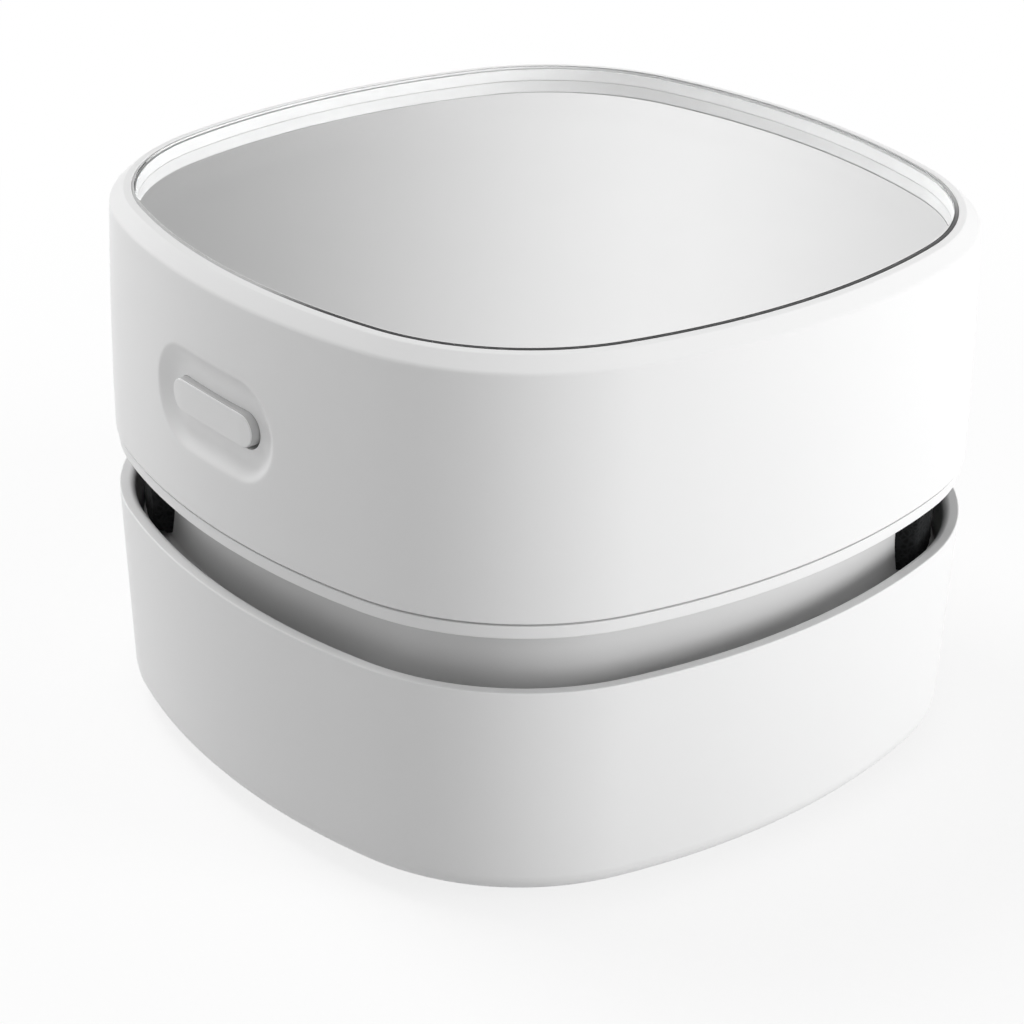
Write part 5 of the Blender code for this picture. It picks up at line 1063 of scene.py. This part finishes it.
# Boards: glass epoxy with a green solder mask over etched copper. The tracks show through as paler,
# slightly raised lines on a millimetre and a quarter grid.
TRACK_GRID = 1.27 * MM
mask, tree, shader, place = new_finish("green_solder_mask")
tracks = add_node(tree, "ShaderNodeTexBrick", {
    "offset": 0.5, "Scale": 1 / TRACK_GRID, "Mortar Size": 0.09, "Mortar Smooth": 0.15, "Brick Width": 2.0,
    "Row Height": 1.0, "Color1": (0, 0, 0, 1), "Color2": (0, 0, 0, 1), "Mortar": (1, 1, 1, 1)},
    {"Vector": place})
weave = noise(tree, place, 0.4 * MM, 3.0)
coat(tree, shader, (mix(tree, weave, "1c5a3a", "216343"), "3c8a5e"), tracks.outputs["Color"], (0.2, 0.34),
     0.03 * MM, wear=weave)
dress(mask, "control_board", "charge_board")

# Battery: one lithium cell in heat-shrunk blue PVC film. The film is glossy, and has faint ripples where
# it has drawn tight round the can.
film, tree, shader, place = new_finish("blue_shrink_film")
across = add_node(tree, "ShaderNodeMapping", {"Scale": (0.25, 1, 1)}, {"Vector": place})
ripples = noise(tree, across.outputs[0], 2.5 * MM, 2.0)
coat(tree, shader, ("3c6fa8", "356399"), ripples, (0.16, 0.3), 0.05 * MM)
dress(film, "battery_cell")

# Leads: stranded copper in extruded silicone rubber, red and black. The rubber is soft looking, with a
# faint bloom.
for name, colour, bloomed, leads in (
        ("red_silicone_rubber", "b5281f", "c33a30", ("motor_lead_left", "battery_lead_right")),
        ("black_silicone_rubber", "1c1c1c", "2b2b2b", ("motor_lead_right", "battery_lead_left"))):
    rubber = mottled(name, (colour, bloomed), 1.2 * MM, 4.0, (0.45, 0.65), 0.008 * MM)
    dress(rubber, *leads)

# Studio: a white table that fades into a white cyclorama, a large soft key at the +X side, a weaker one at
# the -X side, one high above that side, and a plain sky. Shiny pieces see a grey card behind -X that
# brightens towards +Y, under a plain ceiling.
FLOOR_RADIUS, FADE_START, FADE_END = 0.4, 0.06, 0.2
LAMP_DISTANCE, LAMP_SIZE = 0.8, 0.3
table, tree, shader, place = new_finish("painted_table")
tree.nodes.remove(shader)
ray = add_node(tree, "ShaderNodeLightPath")
paint = mix(tree, noise(tree, place, 0.002, 2.0), "f8f8f8", "fafafa")
tone = mix(tree, ray.outputs["Is Camera Ray"], "bdbdbd", paint)
matt = add_node(tree, "ShaderNodeBsdfDiffuse", None, {"Color": tone})
white = add_node(tree, "ShaderNodeEmission", {"Color": (1, 1, 1, 1), "Strength": 1.0})
reach = add_node(tree, "ShaderNodeVectorMath", {"operation": "LENGTH"}, {0: place})
fade = ranged(tree, reach.outputs["Value"], FADE_START, FADE_END, 0.8, 1.0, interpolation_type="SMOOTHSTEP")
seen = maths(tree, "MAXIMUM", ray.outputs["Is Camera Ray"], ray.outputs["Is Glossy Ray"])
seen_through = maths(tree, "MAXIMUM", seen, ray.outputs["Is Transmission Ray"])
share = maths(tree, "MULTIPLY", fade, seen_through)
either = add_node(tree, "ShaderNodeMixShader", None,
                  {0: share, 1: matt.outputs[0], 2: white.outputs[0]})
tree.links.new(either.outputs[0], tree.nodes["Material Output"].inputs["Surface"])
rim = circle(FLOOR_RADIUS, steps=64)
floor = mesh_piece("table_top", np.column_stack([rim, np.zeros(64)]), [list(range(64))])
floor.data.materials.append(table)

world = bpy.data.worlds.new("studio")
bpy.context.scene.world = world
world.use_nodes = True
tree = world.node_tree
tree.nodes.clear()
way = add_node(tree, "ShaderNodeTexCoord")
parts = add_node(tree, "ShaderNodeSeparateXYZ", None, {"Vector": way.outputs["Generated"]})
azimuth = maths(tree, "ARCTAN2", parts.outputs["Y"], parts.outputs["X"])
card = add_node(tree, "ShaderNodeValToRGB", None, {"Fac": ranged(tree, azimuth, -np.pi, np.pi, 0.0, 1.0)})
stops = [(-180, 0.55), (-120, 0.75), (0, 0.9), (100, 0.8), (130, 0.75), (133, 0.85), (136, 0.98), (139, 0.93),
         (143, 0.67), (147, 0.47), (151, 0.41), (180, 0.55)]
ramp = card.color_ramp
ramp.interpolation = "B_SPLINE"
while len(ramp.elements) < len(stops):
    ramp.elements.new(0.5)
for element, (degrees, level) in zip(ramp.elements, stops):
    element.position = (degrees + 180) / 360
    element.color = (level, level, level, 1)
height = ranged(tree, parts.outputs["Z"], 0.0, 1.0, 0.7, 0.26)
ray = add_node(tree, "ShaderNodeLightPath")
overhead = ranged(tree, parts.outputs["Z"], 0.6, 0.95, 0.0, 1.0, interpolation_type="SMOOTHSTEP")
ceiling = add_node(tree, "ShaderNodeMix", {"data_type": "RGBA", 7: (0.7, 0.7, 0.7, 1)},
                   {0: overhead, 6: card.outputs["Color"]})
shiny = add_node(tree, "ShaderNodeBackground", {"Strength": 1.06}, {"Color": ceiling.outputs[2]})
sky = add_node(tree, "ShaderNodeBackground", {"Color": (1, 1, 1, 1)}, {"Strength": height})
backdrop = add_node(tree, "ShaderNodeBackground", {"Color": (1, 1, 1, 1), "Strength": 1.0})
mirrored = maths(tree, "MAXIMUM", ray.outputs["Is Glossy Ray"], ray.outputs["Is Transmission Ray"])
lit = add_node(tree, "ShaderNodeMixShader", None, {0: mirrored, 1: sky.outputs[0], 2: shiny.outputs[0]})
all_rays = add_node(tree, "ShaderNodeMixShader", None,
                    {0: ray.outputs["Is Camera Ray"], 1: lit.outputs[0], 2: backdrop.outputs[0]})
add_node(tree, "ShaderNodeOutputWorld", None, {"Surface": all_rays.outputs[0]})


def soft_lamp(name, azimuth, height, level):
    """A square area lamp aimed at the object. level is what it adds to an upright white face that is
    turned to its azimuth, so its power is level, pi squared and the distance squared, over the cosine."""
    lamp = bpy.data.lights.new(name, "AREA")
    lamp.size = LAMP_SIZE
    lamp.energy = level * np.pi ** 2 * LAMP_DISTANCE ** 2 / np.cos(height)
    made = bpy.data.objects.new(name, lamp)
    bpy.context.scene.collection.objects.link(made)
    towards = Vector((np.cos(azimuth) * np.cos(height), np.sin(azimuth) * np.cos(height), np.sin(height)))
    made.location = Vector((0, 0, 0.03)) + LAMP_DISTANCE * towards
    made.rotation_euler = towards.to_track_quat("Z", "Y").to_euler()
    made.visible_glossy = False


soft_lamp("key_softbox", np.radians(32), np.radians(11), 0.62)
soft_lamp("rim_softbox", np.radians(190), np.radians(11), 0.365)
soft_lamp("top_softbox", np.radians(200), np.radians(65), 0.16)

FOCAL, SENSOR = 91.185, 36.0
EYE = Vector((203.17, -170.17, 156.29)) * MM
camera = bpy.data.cameras.new("camera")
camera.lens, camera.sensor_fit = FOCAL, "HORIZONTAL"
camera.sensor_width, camera.sensor_height = SENSOR, SENSOR
camera.clip_start, camera.clip_end = 0.01, 10.0
eye = bpy.data.objects.new("camera", camera)
right, down, ahead = (Vector((0.62909, 0.77723, 0.01259)), Vector((0.35771, -0.27508, -0.8924)),
                      Vector((-0.69013, 0.56591, -0.45107)))
eye.matrix_world = Matrix.Translation(EYE) @ Matrix((right, -down, -ahead)).transposed().to_4x4()
bpy.context.scene.collection.objects.link(eye)
bpy.context.scene.camera = eye
bpy.context.scene.view_settings.view_transform = "Standard"

bpy.context.view_layer.update()
